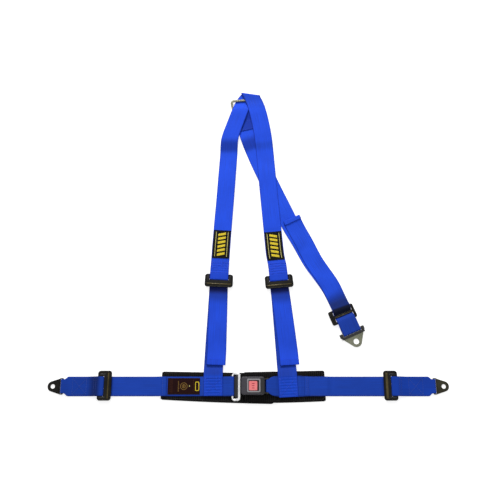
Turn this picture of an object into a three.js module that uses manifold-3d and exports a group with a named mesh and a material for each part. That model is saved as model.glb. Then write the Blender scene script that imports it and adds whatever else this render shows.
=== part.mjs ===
// Four-point racing harness, laid out flat on a floor. Millimetres, +Z up.
// X runs along the two lap belts, +Y from the lap belts up the shoulder belts.
import * as THREE from 'three';
import { mergeVertices } from 'three/addons/utils/BufferGeometryUtils.js';
import Module from 'manifold-3d';

const wasm = await Module();
wasm.setup();

// ---- driving dimensions -------------------------------------------------
const WEB_WIDTH = 50;            // 2 inch webbing
const WEB_THICK = 1.4;
const GAP = 0.35;                // clearance between neighbouring pieces
const LAYER = 1.8;               // pitch of webbing layers that lie on each other
const FLOOR_LAYER = 1.0;         // centre height of a layer on the floor
const PAD_THICK = 4;
const PAD_WIDTH = 78;
const PAD_CORNER = 6;
const PAD_LAYER = PAD_THICK + GAP + WEB_THICK / 2;    // a layer on one pad
const STACK_PAD_Z = PAD_THICK + 0.3;                  // underside of a pad on a pad

const FRAME_WIDTH = 76;          // adjuster frame, across the webbing
const FRAME_LENGTH = 36;
const FRAME_THICK = 3;
const FRAME_Z = 7.2;             // underside of the adjuster frame
const FIXED_BAR = 12.5;          // bar that the sewn loop goes round
const SLOT_END = 16.4;           // where the frame's clamping bar starts
const GRIP_X = 29;               // rounded lip along the clamping bar
const SLOT_WIDTH = 54;
const SLIDER_WIDTH = 6;
const SLIDER_THICK = 3;
const SLIDER_Z = 3.6;            // centre height of the sliding bar
const SLIDER_AT = 19.65;         // centre of the webbing's turn round it
const BAR_INSET = 0.6;           // a bar's edge past the centre of the webbing's turn
const LOOP_RADIUS = SLIDER_THICK / 2 + GAP + WEB_THICK / 2;

const LEFT_LAP_ADJUSTER_X = 389; // outer edges of the lap adjusters, from the middle
const RIGHT_LAP_ADJUSTER_X = 385.5;
const LAP_ADJUSTER_Y = 1.5;
const PLATE_BAR_X = 480;         // bar of a lap anchor plate
const PLATE_BAR_Z = 4.7;
const PLATE_LOOP = 3.6;          // centreline radius of the webbing round that bar
const LAP_PLATE = {
  thick: 3, base: 42, slot: 36.8, slotEnd: 5.8, tipRadius: 13.4, holeRadius: 5.75,
  holeAt: 26.2,
};
const REAR_PLATE = {
  thick: 3, base: 67, slot: 52, slotEnd: 8.6, tipRadius: 15, holeRadius: 7.5,
  holeAt: 27.8,
};

// Outer edge of each shoulder adjuster, and the turn of the webbing that it holds.
const LEFT_ADJUSTER = { x: -78.8, y: 298.7, turn: -0.045 };
const RIGHT_ADJUSTER = { x: 81.6, y: 296, turn: 0.09 };
const SEWN_LENGTH = 38;          // doubled webbing above a shoulder adjuster
const RING_CENTRE = new THREE.Vector2(-15, 814);
const RING_SIZE = new THREE.Vector2(70, 35);
const RING_ROD = 5;
const RING_Z = 6;
const RING_TURN = THREE.MathUtils.degToRad(4.5);
const FOLD = new THREE.Vector2(6, 848);               // fold of the shoulder webbing
const FOLD_TURN = THREE.MathUtils.degToRad(-8.7);
const FOLD_WIDTH = 55;           // the fold crosses the webbing at a slant

const REAR_START = 30;           // length of the rear line above the ring's lower bar
const TRIGLIDE = {
  width: 71, length: 39, bar: 6.5, slot: 52, shift: -2.6, thick: 3, z: 3.9,
  along: REAR_START + 671,
};
const REAR_BAR_ALONG = TRIGLIDE.along + 51;           // rear plate's bar, on the rear line

const BUCKLE_LEFT = -18;
const BUCKLE_RIGHT = 42;
const BUCKLE_HALF = 22.5;
const BUCKLE_Z = STACK_PAD_Z + PAD_THICK + 0.4;       // underside of the buckle
const BUCKLE_TOP = 28;
const BLADE_Z = 13.4;
const BLADE_THICK = 2.4;
const PIN = { x: 49.3, z: 15, radius: 2.5 };
const BUTTON = { x: 14.2, size: 26 };
const TONGUE_LEFT = -40.5;
const TONGUE_RIGHT = -22.3;
const TONGUE_LOW = 10;           // height of the bar that the webbing goes round

const COLOURS = {
  webbing: [0x2a53d8, 0.85, 0],
  lapWebbing: [0x2142a4, 0.85, 0],
  pad: [0x08070a, 0.95, 0],
  label: [0x15131a, 0.8, 0],
  blackSteel: [0x2c2724, 0.35, 0.8],
  bareSteel: [0x737666, 0.4, 0.9],
  chrome: [0xdcd8d8, 0.12, 1],
  spring: [0x9a9a98, 0.3, 1],
  blackPlastic: [0x1a1a1c, 0.5, 0],
  greyPlastic: [0x4b4851, 0.5, 0],
  bezel: [0x9d9b9e, 0.4, 0.3],
  button: [0xd23a40, 0.4, 0],
};

const harness = new THREE.Group();

function addMesh(parent, name, geometry, colour) {
  const [color, roughness, metalness] = COLOURS[colour];
  const mesh = new THREE.Mesh(
    geometry, new THREE.MeshStandardMaterial({ color, roughness, metalness }));
  mesh.name = name;
  parent.add(mesh);
  return mesh;
}

function place(x, y, turn) {
  const group = new THREE.Group();
  group.position.set(x, y, 0);
  group.rotation.z = turn;
  harness.add(group);
  return group;
}

// ---- solids ---------------------------------------------------------------
function toSolid(geometry) {
  const bare = geometry.clone();
  bare.deleteAttribute('normal');
  bare.deleteAttribute('uv');
  const merged = mergeVertices(bare, 1e-4);
  return new wasm.Manifold(new wasm.Mesh({
    numProp: 3,
    vertProperties: merged.attributes.position.array,
    triVerts: new Uint32Array(merged.index.array),
  }));
}

function toGeometry(solid) {
  const mesh = solid.getMesh();
  const geometry = new THREE.BufferGeometry();
  geometry.setAttribute('position', new THREE.BufferAttribute(mesh.vertProperties, 3));
  geometry.setIndex(new THREE.BufferAttribute(mesh.triVerts, 1));
  geometry.computeVertexNormals();
  return geometry;
}

function join(...geometries) {
  return toGeometry(geometries.map(toSolid).reduce((a, b) => a.add(b)));
}

function cut(geometry, ...tools) {
  return toGeometry(tools.map(toSolid).reduce((a, b) => a.subtract(b), toSolid(geometry)));
}

function overlapOf(first, second) {
  return toGeometry(toSolid(first).intersect(toSolid(second)));
}

// A box from its low corner to its high corner.
function box(x0, x1, y0, y1, z0, z1) {
  return new THREE.BoxGeometry(x1 - x0, y1 - y0, z1 - z0)
    .translate((x0 + x1) / 2, (y0 + y1) / 2, (z0 + z1) / 2);
}

function rod(radius, length, segments = 16) {
  return new THREE.CylinderGeometry(radius, radius, length, segments);
}

function roundedRect(path, x0, x1, y0, y1, r) {
  path.moveTo(x0 + r, y0);
  path.lineTo(x1 - r, y0);
  path.absarc(x1 - r, y0 + r, r, -Math.PI / 2, 0, false);
  path.lineTo(x1, y1 - r);
  path.absarc(x1 - r, y1 - r, r, 0, Math.PI / 2, false);
  path.lineTo(x0 + r, y1);
  path.absarc(x0 + r, y1 - r, r, Math.PI / 2, Math.PI, false);
  path.lineTo(x0, y0 + r);
  path.absarc(x0 + r, y0 + r, r, Math.PI, Math.PI * 1.5, false);
  return path;
}

function slab(shape, z0, z1, bevel = 0, curveSegments = 4) {
  const geometry = new THREE.ExtrudeGeometry(shape, {
    depth: z1 - z0 - 2 * bevel,
    bevelEnabled: bevel > 0,
    bevelSize: bevel,
    bevelThickness: bevel,
    bevelOffset: -bevel,
    bevelSegments: 1,
    curveSegments,
  });
  return geometry.translate(0, 0, z0 + bevel);
}

// A closed rod bent to a rounded rectangle, centred on the origin.
function rodRing(width, height, corner, thick) {
  const shape = roundedRect(new THREE.Shape(), -width / 2, width / 2,
    -height / 2, height / 2, corner);
  shape.holes.push(roundedRect(new THREE.Path(), -width / 2 + thick, width / 2 - thick,
    -height / 2 + thick, height / 2 - thick, Math.max(corner - thick, 1)));
  return slab(shape, -thick / 2, thick / 2, thick * 0.34);
}

// ---- webbing ----------------------------------------------------------------
// A line on the floor that a strap follows. at(u) gives the point and the direction
// across the strap at the distance u from the line's start; across can be overridden
// by the angle that acrossAngle(u) returns.
class FloorLine {
  constructor(points, acrossAngle = null) {
    this.curve = new THREE.CatmullRomCurve3(
      points.map(([x, y]) => new THREE.Vector3(x, y, 0)), false, 'centripetal');
    this.curve.arcLengthDivisions = 400;
    this.length = this.curve.getLength();
    this.acrossAngle = acrossAngle;
  }

  at(u) {
    const share = THREE.MathUtils.clamp(u / this.length, 0, 1);
    const along = this.curve.getTangentAt(share);
    const point = this.curve.getPointAt(share).addScaledVector(along, u - share * this.length);
    const across = new THREE.Vector3(along.y, -along.x, 0);
    if (this.acrossAngle) {
      const angle = this.acrossAngle(share);
      across.set(Math.cos(angle), Math.sin(angle), 0);
    }
    return { point, across };
  }
}

// The strap seen from its edge: u along the line, z up, and a sideways shift.
class EdgeView {
  constructor() {
    this.points = [];
  }

  to(u, z, shift = 0) {
    this.points.push({ u, z, shift });
    return this;
  }

  turn(u, z, radius, fromDeg, toDeg, shift = 0, steps = 8) {
    for (let i = 0; i <= steps; i += 1) {
      const angle = THREE.MathUtils.degToRad(fromDeg + (toDeg - fromDeg) * i / steps);
      this.to(u + radius * Math.cos(angle), z + radius * Math.sin(angle), shift);
    }
    return this;
  }

  // The same view, moved sideways from its own run by a distance.
  offset(distance) {
    const moved = new EdgeView();
    this.points.forEach((p, i) => {
      const before = this.points[Math.max(i - 1, 0)];
      const after = this.points[Math.min(i + 1, this.points.length - 1)];
      const first = new THREE.Vector2(p.u - before.u, p.z - before.z).normalize();
      const second = new THREE.Vector2(after.u - p.u, after.z - p.z).normalize();
      const mean = first.clone().add(second).normalize();
      const edge = first.lengthSq() > 0 ? first : second;
      const stretch = distance / Math.max(mean.dot(edge), 0.5);
      moved.to(p.u - mean.y * stretch, p.z + mean.x * stretch, p.shift);
    });
    return moved;
  }

  add(view) {
    this.points.push(...view.points);
    return this;
  }
}

// Lays an edge view on a line. Long stretches are divided, so they follow its curve.
function stations(line, view, widthAt = () => WEB_WIDTH, stepAt = () => 22) {
  const laid = [];
  view.points.forEach((p, i) => {
    const before = view.points[i - 1] ?? p;
    const pieces = Math.max(1, Math.ceil(Math.abs(p.u - before.u) / stepAt(p.u)));
    for (let k = i === 0 ? pieces : 1; k <= pieces; k += 1) {
      const t = k / pieces;
      const u = THREE.MathUtils.lerp(before.u, p.u, t);
      const { point, across } = line.at(u);
      point.addScaledVector(across, THREE.MathUtils.lerp(before.shift, p.shift, t));
      point.z = THREE.MathUtils.lerp(before.z, p.z, t);
      laid.push({ point, across, width: widthAt(u) });
    }
  });
  return laid;
}

// A flat strip through the stations: a box whose cross-sections are moved to them.
function strip(laid, thick = WEB_THICK) {
  const last = laid.length - 1;
  const geometry = new THREE.BoxGeometry(1, 1, 1, 1, 1, last);
  const position = geometry.attributes.position;
  const sections = laid.map((station, i) => {
    const back = station.point.clone().sub(laid[Math.max(i - 1, 0)].point).normalize();
    const on = laid[Math.min(i + 1, last)].point.clone().sub(station.point).normalize();
    const along = back.clone().add(on).normalize();
    const normal = along.clone().cross(station.across).normalize();
    const stretch = 1 / Math.max(along.dot(i === 0 ? on : back), 0.7);
    return { ...station, normal, thick: thick * stretch };
  });
  const corner = new THREE.Vector3();
  for (let i = 0; i < position.count; i += 1) {
    const section = sections[Math.round((position.getZ(i) + 0.5) * last)];
    corner.copy(section.point)
      .addScaledVector(section.across, position.getX(i) * section.width)
      .addScaledVector(section.normal, position.getY(i) * section.thick);
    position.setXYZ(i, corner.x, corner.y, corner.z);
  }
  geometry.computeVertexNormals();
  return geometry;
}

// The adjustable end: along the floor, up round the sliding bar and back as the tail.
// edge is where the adjuster's outer edge lies on the strap's line.
function threadAdjuster(view, edge) {
  const turnAt = edge - SLIDER_AT;
  const overSlider = SLIDER_Z + LOOP_RADIUS;
  return view
    .to(edge - FRAME_LENGTH - 2, FLOOR_LAYER)
    .turn(turnAt, SLIDER_Z, LOOP_RADIUS, -90, 90)
    .to(edge - 27.5, overSlider)
    .to(edge - 34.5, FLOOR_LAYER + LAYER + 0.05)
    .to(edge - FRAME_LENGTH - 2, FLOOR_LAYER + LAYER + 0.05);
}

// Narrows the webbing from full width at one place to a share of it at another.
function narrowing(fullAt, narrowAt, narrowWidth) {
  return (u) => {
    const t = THREE.MathUtils.smoothstep((u - fullAt) / (narrowAt - fullAt), 0, 1);
    return THREE.MathUtils.lerp(WEB_WIDTH, narrowWidth, t);
  };
}

// ---- lap belts ----------------------------------------------------------------
const LEFT_PATCH_END = 118;      // where the sewn-back layer under a lap belt stops
const RIGHT_PATCH_END = 136;
const onPad2 = PAD_LAYER + LAYER;

function lapTail(view, hemAt, padEdge) {
  return view
    .to(padEdge + 14, FLOOR_LAYER + LAYER + 0.05)
    .to(padEdge + 3, onPad2 + 0.05)
    .to(hemAt, onPad2 + 0.05);
}

function leftLapStrap() {
  const line = new FloorLine([[0, 0], [-400, 0]]);
  const padEdge = 226;
  const bar = -TONGUE_LEFT;
  const radius = RING_ROD / 2 + GAP + WEB_THICK / 2;
  const view = new EdgeView()
    .to(LEFT_PATCH_END - 2, PAD_LAYER)
    .to(bar + 16, PAD_LAYER)
    .turn(bar, TONGUE_LOW, radius, 270, 90)
    .to(bar + 20, onPad2)
    .to(LEFT_PATCH_END, onPad2)
    .to(LEFT_PATCH_END + 6, PAD_LAYER)
    .to(padEdge + 1, PAD_LAYER)
    .to(padEdge + 12, FLOOR_LAYER);
  threadAdjuster(view, LEFT_LAP_ADJUSTER_X);
  lapTail(view, 212, padEdge);
  return strip(stations(line, view, () => WEB_WIDTH, () => 60));
}

function rightLapStrap() {
  const line = new FloorLine([[0, 0], [400, 0]]);
  const padEdge = 200;
  const radius = PIN.radius + GAP + WEB_THICK / 2;
  const onStack = STACK_PAD_Z + PAD_LAYER;
  const view = new EdgeView()
    .to(RIGHT_PATCH_END - 2, PAD_LAYER)
    .to(77.4, PAD_LAYER)
    .to(70, onStack)
    .turn(PIN.x, PIN.z, radius, 270, 90)
    .to(71, onStack + LAYER)
    .to(78.2, onPad2)
    .to(RIGHT_PATCH_END, onPad2)
    .to(RIGHT_PATCH_END + 6, PAD_LAYER)
    .to(padEdge + 1, PAD_LAYER)
    .to(padEdge + 12, FLOOR_LAYER);
  threadAdjuster(view, RIGHT_LAP_ADJUSTER_X);
  lapTail(view, 146, padEdge);
  return strip(stations(line, view, narrowing(70, 55, 32), (u) => (u < 80 ? 5 : 60)));
}

// Short strap between an adjuster and an anchor plate: a flat loop, sewn through.
function endStrap(side, adjusterX) {
  const line = new FloorLine([[0, 0], [side * 500, 0]]);
  const frameMid = FRAME_Z + FRAME_THICK / 2;
  const turnAt = adjusterX - FIXED_BAR + BAR_INSET;
  const under = FLOOR_LAYER + 0.1;
  const view = new EdgeView()
    .to(adjusterX + 45, under)
    .to(adjusterX + 20, under)
    .to(adjusterX - 1, frameMid - LOOP_RADIUS)
    .turn(turnAt, frameMid, LOOP_RADIUS, 270, 90)
    .to(adjusterX - 1, frameMid + LOOP_RADIUS)
    .to(adjusterX + 27, under + LAYER + 0.1)
    .to(PLATE_BAR_X - 16, under + LAYER + 0.1)
    .turn(PLATE_BAR_X, PLATE_BAR_Z, PLATE_LOOP, 90, -90)
    .to(adjusterX + 46, under);
  const width = narrowing(PLATE_BAR_X - 14, PLATE_BAR_X - 4, LAP_PLATE.slot - 1.2);
  return strip(stations(line, view, width, () => 8));
}

// Adjuster frame with its window and raised lip. X runs from the outer edge inwards.
function adjusterFrame() {
  const shape = roundedRect(new THREE.Shape(), 0, FRAME_LENGTH,
    -FRAME_WIDTH / 2, FRAME_WIDTH / 2, 7);
  shape.holes.push(roundedRect(new THREE.Path(), FIXED_BAR, SLOT_END,
    -SLOT_WIDTH / 2, SLOT_WIDTH / 2, 1.2));
  const plate = slab(shape, FRAME_Z, FRAME_Z + FRAME_THICK, 0.7);
  const lip = rod(1.6, FRAME_WIDTH - 18, 16)
    .translate(GRIP_X, 0, FRAME_Z + FRAME_THICK - 0.4);
  return join(plate, lip);
}

// Bar that slides under the frame, with ends that reach up beside the webbing.
function adjusterBar() {
  const left = SLIDER_AT - BAR_INSET;
  const half = SLOT_WIDTH / 2 + 5;
  const body = box(left, left + SLIDER_WIDTH, -half, half,
    SLIDER_Z - SLIDER_THICK / 2, SLIDER_Z + SLIDER_THICK / 2);
  const ears = [-1, 1].map((side) => box(left, left + SLIDER_WIDTH,
    side * (half - 2.25) - 2.25, side * (half - 2.25) + 2.25, SLIDER_Z, FRAME_Z - GAP));
  return join(body, ...ears);
}

function addAdjuster(prefix, x, y, turn) {
  const group = place(x, y, turn);
  addMesh(group, `${prefix}_adjuster_frame`, adjusterFrame(), 'blackSteel');
  addMesh(group, `${prefix}_adjuster_bar`, adjusterBar(), 'blackSteel');
}

// Anchor plate: X runs from the webbing's bar to the bolt hole. The bolt pad lies on
// the floor and the slotted end is joggled up to the height of the webbing's loop.
function anchorPlate({ thick, base, slot, slotEnd, tipRadius, holeRadius, holeAt }) {
  const barHalf = 2;
  const low = PLATE_BAR_Z - thick / 2;
  const side = new THREE.Shape();
  const reach = holeAt + tipRadius + 1;
  side.moveTo(-barHalf - 1, low);
  side.lineTo(slotEnd, low);
  side.lineTo(slotEnd + 5, 0);
  side.lineTo(reach, 0);
  side.lineTo(reach, thick);
  side.lineTo(slotEnd + 5.6, thick);
  side.lineTo(slotEnd + 0.6, low + thick);
  side.lineTo(-barHalf - 1, low + thick);
  const bent = new THREE.ExtrudeGeometry(side, { depth: base + 10, bevelEnabled: false })
    .rotateX(Math.PI / 2).translate(0, base / 2 + 5, 0);

  const outline = new THREE.Shape();
  const lean = Math.atan2(base / 2 - tipRadius, holeAt - 8);
  outline.moveTo(-barHalf, -base / 2 + 2);
  outline.lineTo(-barHalf + 2, -base / 2);
  outline.lineTo(5, -base / 2);
  outline.absarc(holeAt, 0, tipRadius, -Math.PI / 2 + lean, Math.PI / 2 - lean, false);
  outline.lineTo(5, base / 2);
  outline.lineTo(-barHalf + 2, base / 2);
  outline.lineTo(-barHalf, base / 2 - 2);
  outline.holes.push(
    roundedRect(new THREE.Path(), barHalf, slotEnd, -slot / 2, slot / 2, 0.8));
  outline.holes.push(new THREE.Path().absarc(holeAt, 0, holeRadius, 0, Math.PI * 2, true));
  return overlapOf(bent, slab(outline, -5, 15, 0, 10));
}

// ---- pads ------------------------------------------------------------------------
// taper is the pad's width at its left end, as a share of its width at the other.
const LEFT_PAD = { from: -225, to: 66, y: -1.6, turn: -1.53, taper: 0.915 };
const RIGHT_PAD = { from: -12, to: 199, y: -0.8, turn: 1.3 };

function leftPad() {
  const length = LEFT_PAD.to - LEFT_PAD.from;
  const shape = roundedRect(new THREE.Shape(), -length / 2, length / 2,
    -PAD_WIDTH / 2, PAD_WIDTH / 2, PAD_CORNER);
  const geometry = slab(shape, 0, PAD_THICK, 1.2, 4);
  const { position } = geometry.attributes;
  for (let i = 0; i < position.count; i += 1) {
    const share = position.getX(i) / length + 0.5;
    position.setY(i, position.getY(i) * THREE.MathUtils.lerp(LEFT_PAD.taper, 1, share));
  }
  geometry.computeVertexNormals();
  return geometry;
}

// The right pad starts on top of the left one and steps down past its end.
function rightPad() {
  const middle = (RIGHT_PAD.from + RIGHT_PAD.to) / 2;
  const half = (RIGHT_PAD.to - RIGHT_PAD.from) / 2;
  const line = new FloorLine([[-half, 0], [half, 0]]);
  const high = STACK_PAD_Z + PAD_THICK / 2;
  const view = new EdgeView()
    .to(0, high)
    .to(LEFT_PAD.to + 2 - middle + half, high)
    .to(LEFT_PAD.to + 10 - middle + half, PAD_THICK / 2)
    .to(2 * half, PAD_THICK / 2);
  return strip(stations(line, view, () => PAD_WIDTH, () => 300), PAD_THICK);
}

function addPad(name, pad, geometry) {
  const group = place((pad.from + pad.to) / 2, pad.y, THREE.MathUtils.degToRad(pad.turn));
  addMesh(group, name, geometry, 'pad');
}

// ---- shoulder belts ------------------------------------------------------------
// A point on an adjuster's own line, so far up from its outer edge.
function up(adjuster, distance) {
  return [adjuster.x - distance * Math.sin(adjuster.turn),
    adjuster.y + distance * Math.cos(adjuster.turn)];
}

function easeAngle(from, to, start, end) {
  return (share) => THREE.MathUtils.lerp(from, to,
    THREE.MathUtils.smoothstep(share, start, end));
}

const turnToRing = easeAngle(LEFT_ADJUSTER.turn, RING_TURN, 0.5, 0.9);
const turnToFold = easeAngle(0, FOLD_TURN - RING_TURN, 0.95, 1);
const leftShoulderLine = new FloorLine([
  up(LEFT_ADJUSTER, -30), up(LEFT_ADJUSTER, -14), up(LEFT_ADJUSTER, 0),
  up(LEFT_ADJUSTER, 40), [-73.4, 400], [-65.5, 516], [-57, 650], [-53.5, 705],
  [-38, 756], [-21.5, 803], [-12.5, 829], [FOLD.x, FOLD.y],
], (share) => turnToRing(share) + turnToFold(share));
const rightShoulderLine = new FloorLine([
  [FOLD.x, FOLD.y], [15.5, 829], [24.6, 800], [33.9, 761], [43.6, 703], [54.7, 571],
  [67.2, 427], [73.6, 357], up(RIGHT_ADJUSTER, 30), up(RIGHT_ADJUSTER, 0),
  up(RIGHT_ADJUSTER, -14), up(RIGHT_ADJUSTER, -30),
], easeAngle(FOLD_TURN, RIGHT_ADJUSTER.turn, 0, 0.09));

// Distance along a line at which it passes a given y.
function alongAt(line, y) {
  let low = 0;
  let high = line.length;
  const rising = line.at(high).point.y > line.at(low).point.y;
  for (let i = 0; i < 40; i += 1) {
    const middle = (low + high) / 2;
    if ((line.at(middle).point.y < y) === rising) low = middle;
    else high = middle;
  }
  return (low + high) / 2;
}

// One webbing: up the left, through the ring, folded at the top and down the right.
function shoulderStrap() {
  const frameMid = FRAME_Z + FRAME_THICK / 2;
  const inset = FIXED_BAR - BAR_INSET;
  const underRing = RING_Z - RING_ROD / 2 - GAP - WEB_THICK / 2;
  const overRing = RING_Z + RING_ROD / 2 + GAP + WEB_THICK / 2;
  const overLoop = overRing + LAYER;
  const leftY = (y) => alongAt(leftShoulderLine, y);
  const rightY = (y) => alongAt(rightShoulderLine, y);
  const leftTop = LEFT_ADJUSTER.y;
  const rightTop = RIGHT_ADJUSTER.y;
  const rising = new EdgeView()
    .to(leftY(leftTop + SEWN_LENGTH - 1), FLOOR_LAYER)
    .to(leftY(leftTop + SEWN_LENGTH - 10), FLOOR_LAYER)
    .to(leftY(leftTop + 1), frameMid - LOOP_RADIUS)
    .turn(leftY(leftTop - inset), frameMid, LOOP_RADIUS, 270, 90)
    .to(leftY(leftTop + 1), frameMid + LOOP_RADIUS)
    .to(leftY(leftTop + SEWN_LENGTH), FLOOR_LAYER + LAYER)
    .to(leftY(leftTop + SEWN_LENGTH + 5.5), FLOOR_LAYER + 0.6)
    .to(leftY(700), FLOOR_LAYER + 0.2)
    .to(leftY(714), FLOOR_LAYER + 2 * LAYER + 0.2)
    .to(leftY(768), FLOOR_LAYER + 2 * LAYER + 0.4)
    .to(leftY(789), overLoop + 0.2)
    .to(leftY(802), overLoop)
    .to(leftY(822), underRing)
    .turn(leftY(FOLD.y), RING_Z, overRing - RING_Z, -90, 0, 0, 4);
  const falling = new EdgeView()
    .turn(0, RING_Z, overRing - RING_Z, 180 - 22.5, 90, 0, 3)
    .to(rightY(827), overRing + 0.2)
    .to(rightY(812), overLoop + LAYER + 0.2)
    .to(rightY(788), overLoop + LAYER)
    .to(rightY(755), FLOOR_LAYER + 2 * LAYER + 0.4)
    .to(rightY(722), FLOOR_LAYER + 2 * LAYER + 0.2)
    .to(rightY(700), FLOOR_LAYER + LAYER + 0.1)
    .to(rightY(434), FLOOR_LAYER + LAYER + 0.1)
    .to(rightY(424), FLOOR_LAYER + 0.6)
    .to(rightY(rightTop + SEWN_LENGTH + 5.5), FLOOR_LAYER + 0.6)
    .to(rightY(rightTop + SEWN_LENGTH), FLOOR_LAYER + LAYER)
    .to(rightY(rightTop + 1), frameMid + LOOP_RADIUS)
    .turn(rightY(rightTop - inset), frameMid, LOOP_RADIUS, 90, -90)
    .to(rightY(rightTop + 1), frameMid - LOOP_RADIUS)
    .to(rightY(rightTop + SEWN_LENGTH - 10), FLOOR_LAYER)
    .to(rightY(rightTop + SEWN_LENGTH - 1), FLOOR_LAYER);
  const foldAt = leftShoulderLine.length;
  return strip([
    ...stations(leftShoulderLine, rising, narrowing(foldAt - 28, foldAt, FOLD_WIDTH)),
    ...stations(rightShoulderLine, falling, narrowing(40, 0, FOLD_WIDTH)),
  ]);
}

// Lower shoulder webbing, from the lap belt up to the adjuster and back as its tail.
function lowerStrap(line, adjusterY, patchZ, hemY, tailShift) {
  const at = (y) => alongAt(line, y);
  const edge = at(adjusterY);
  const view = new EdgeView()
    .to(0, patchZ)
    .to(at(27), patchZ)
    .to(at(40), PAD_LAYER + LAYER)
    .to(at(56), FLOOR_LAYER);
  threadAdjuster(view, edge);
  view.to(at(hemY + 12), FLOOR_LAYER + LAYER + 0.1, tailShift)
    .to(at(hemY), FLOOR_LAYER + 1.5 * LAYER + 0.4, tailShift);
  return strip(stations(line, view));
}

function shoulderLabel(line, fromY, toY) {
  const ends = [alongAt(line, fromY), alongAt(line, toY)].sort((a, b) => a - b);
  const z = FLOOR_LAYER + 0.6 + WEB_THICK / 2 + 0.3 + 0.4;
  const view = new EdgeView().to(ends[0], z).to(ends[1], z);
  return strip(stations(line, view, () => 47), 0.8);
}

// ---- rear belt ----------------------------------------------------------------
const ringDown = new THREE.Vector2(Math.sin(RING_TURN), -Math.cos(RING_TURN));
const ringLowBar = RING_CENTRE.clone()
  .addScaledVector(ringDown, RING_SIZE.y / 2 - RING_ROD / 2);
const belowRing = (distance) => {
  const point = ringLowBar.clone().addScaledVector(ringDown, distance);
  return [point.x, point.y];
};
const rearLine = new FloorLine([
  belowRing(-REAR_START), belowRing(-8), belowRing(0), belowRing(12), belowRing(34), [1, 713],
  [22.1, 656], [46, 599], [83.5, 516], [119.5, 438], [148, 386], [175, 335], [196.5, 303],
  [220, 268], [237.3, 233], [253, 191.7], [275, 141],
]);

// From the ring down to the anchor plate's bar and back up as a long tail.
function rearStrap() {
  const radius = RING_ROD / 2 + GAP + WEB_THICK / 2;
  const centre = TRIGLIDE.along;
  const half = TRIGLIDE.length / 2;
  const top = TRIGLIDE.z + TRIGLIDE.thick;
  const pair = WEB_THICK + GAP + 0.2;
  const over = top + pair;
  const under = TRIGLIDE.z - pair;
  const bar = TRIGLIDE.bar / 2;
  const sewnEnd = 66;
  const middle = new EdgeView()
    .to(centre - half - 24, under)
    .to(centre - half - 1, over)
    .to(centre - half + TRIGLIDE.bar + 0.5, over)
    .to(centre - bar - 0.6, under)
    .to(centre + bar + 0.6, under)
    .to(centre + half - TRIGLIDE.bar - 0.5, over)
    .to(centre + half + 1, over);
  const load = middle.offset(-LAYER / 2);
  const tail = middle.offset(LAYER / 2);
  tail.points.reverse();
  const view = new EdgeView()
    .to(REAR_START + sewnEnd, FLOOR_LAYER + LAYER)
    .to(REAR_START + 24, FLOOR_LAYER + LAYER)
    .turn(REAR_START, RING_Z, radius, 90, 270)
    .to(REAR_START + 18, FLOOR_LAYER)
    .add(load)
    .to(REAR_BAR_ALONG - 12, FLOOR_LAYER + 0.1)
    .turn(REAR_BAR_ALONG, PLATE_BAR_Z, PLATE_LOOP, -90, 90)
    .add(tail)
    .to(alongAt(rearLine, 455), FLOOR_LAYER + LAYER + 0.1, -10);
  return strip(stations(rearLine, view));
}

// Three-bar slide that holds the rear belt's two layers together.
function triglide() {
  const { width, length, bar, slot, shift, thick, z } = TRIGLIDE;
  const shape = roundedRect(new THREE.Shape(), -length / 2, length / 2,
    shift - width / 2, shift + width / 2, 5);
  [-1, 1].forEach((side) => {
    const near = bar / 2;
    const far = length / 2 - bar;
    shape.holes.push(roundedRect(new THREE.Path(), side > 0 ? near : -far,
      side > 0 ? far : -near, -slot / 2, slot / 2, 1));
  });
  return slab(shape, z, z + thick, 0.6);
}

// Black moulded cap on one rear corner of the rear plate.
function cornerCap(side) {
  const { base, thick } = REAR_PLATE;
  const low = PLATE_BAR_Z - thick / 2;
  const inner = 26.6;
  const outer = base / 2 + 1.4;
  const y0 = side > 0 ? inner : -outer;
  const outline = roundedRect(new THREE.Shape(), -4, 7, y0, y0 + outer - inner, 2.5);
  const cap = slab(outline, low - 1.3, low + thick + 1.3, 0.5);
  const room = box(-2.4, 12, -base / 2 - 0.3, base / 2 + 0.3, low - 0.3, low + thick + 0.3);
  return cut(cap, room);
}

// ---- buckle ------------------------------------------------------------------
const BASE_Z = BUCKLE_Z + 1.6;
const BASE_THICK = 1.6;
const LEAF_Z = BASE_Z + BASE_THICK + 0.3;
const FLANGE = 18.5;

function buckleCover() {
  const outer = slab(roundedRect(new THREE.Shape(), BUCKLE_LEFT, BUCKLE_RIGHT,
    -BUCKLE_HALF, BUCKLE_HALF, 6), BUCKLE_Z, BUCKLE_TOP, 1.2);
  const hollow = slab(roundedRect(new THREE.Shape(), BUCKLE_LEFT + 2, BUCKLE_RIGHT - 2,
    -BUCKLE_HALF + 2, BUCKLE_HALF - 2, 4), BUCKLE_Z - 2, BUCKLE_TOP - 2);
  const tongueSlot = box(BUCKLE_LEFT - 1, BUCKLE_LEFT + 3, -12, 12, BLADE_Z - 0.8,
    BLADE_Z + BLADE_THICK + 0.8);
  const rearGate = box(BUCKLE_RIGHT - 4, BUCKLE_RIGHT + 2, -FLANGE - 0.5, FLANGE + 0.5,
    BUCKLE_Z - 2, 21);
  const half = BUTTON.size / 2 + 0.5;
  const window = box(BUTTON.x - half, BUTTON.x + half, -half, half,
    BUCKLE_TOP - 4, BUCKLE_TOP + 1);
  return cut(outer, hollow, tongueSlot, rearGate, window);
}

function buckleFloor() {
  return slab(roundedRect(new THREE.Shape(), BUCKLE_LEFT + 2.4, BUCKLE_RIGHT - 2.4,
    -BUCKLE_HALF + 2.4, BUCKLE_HALF - 2.4, 3.6), BUCKLE_Z, BUCKLE_Z + 1.3);
}

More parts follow.
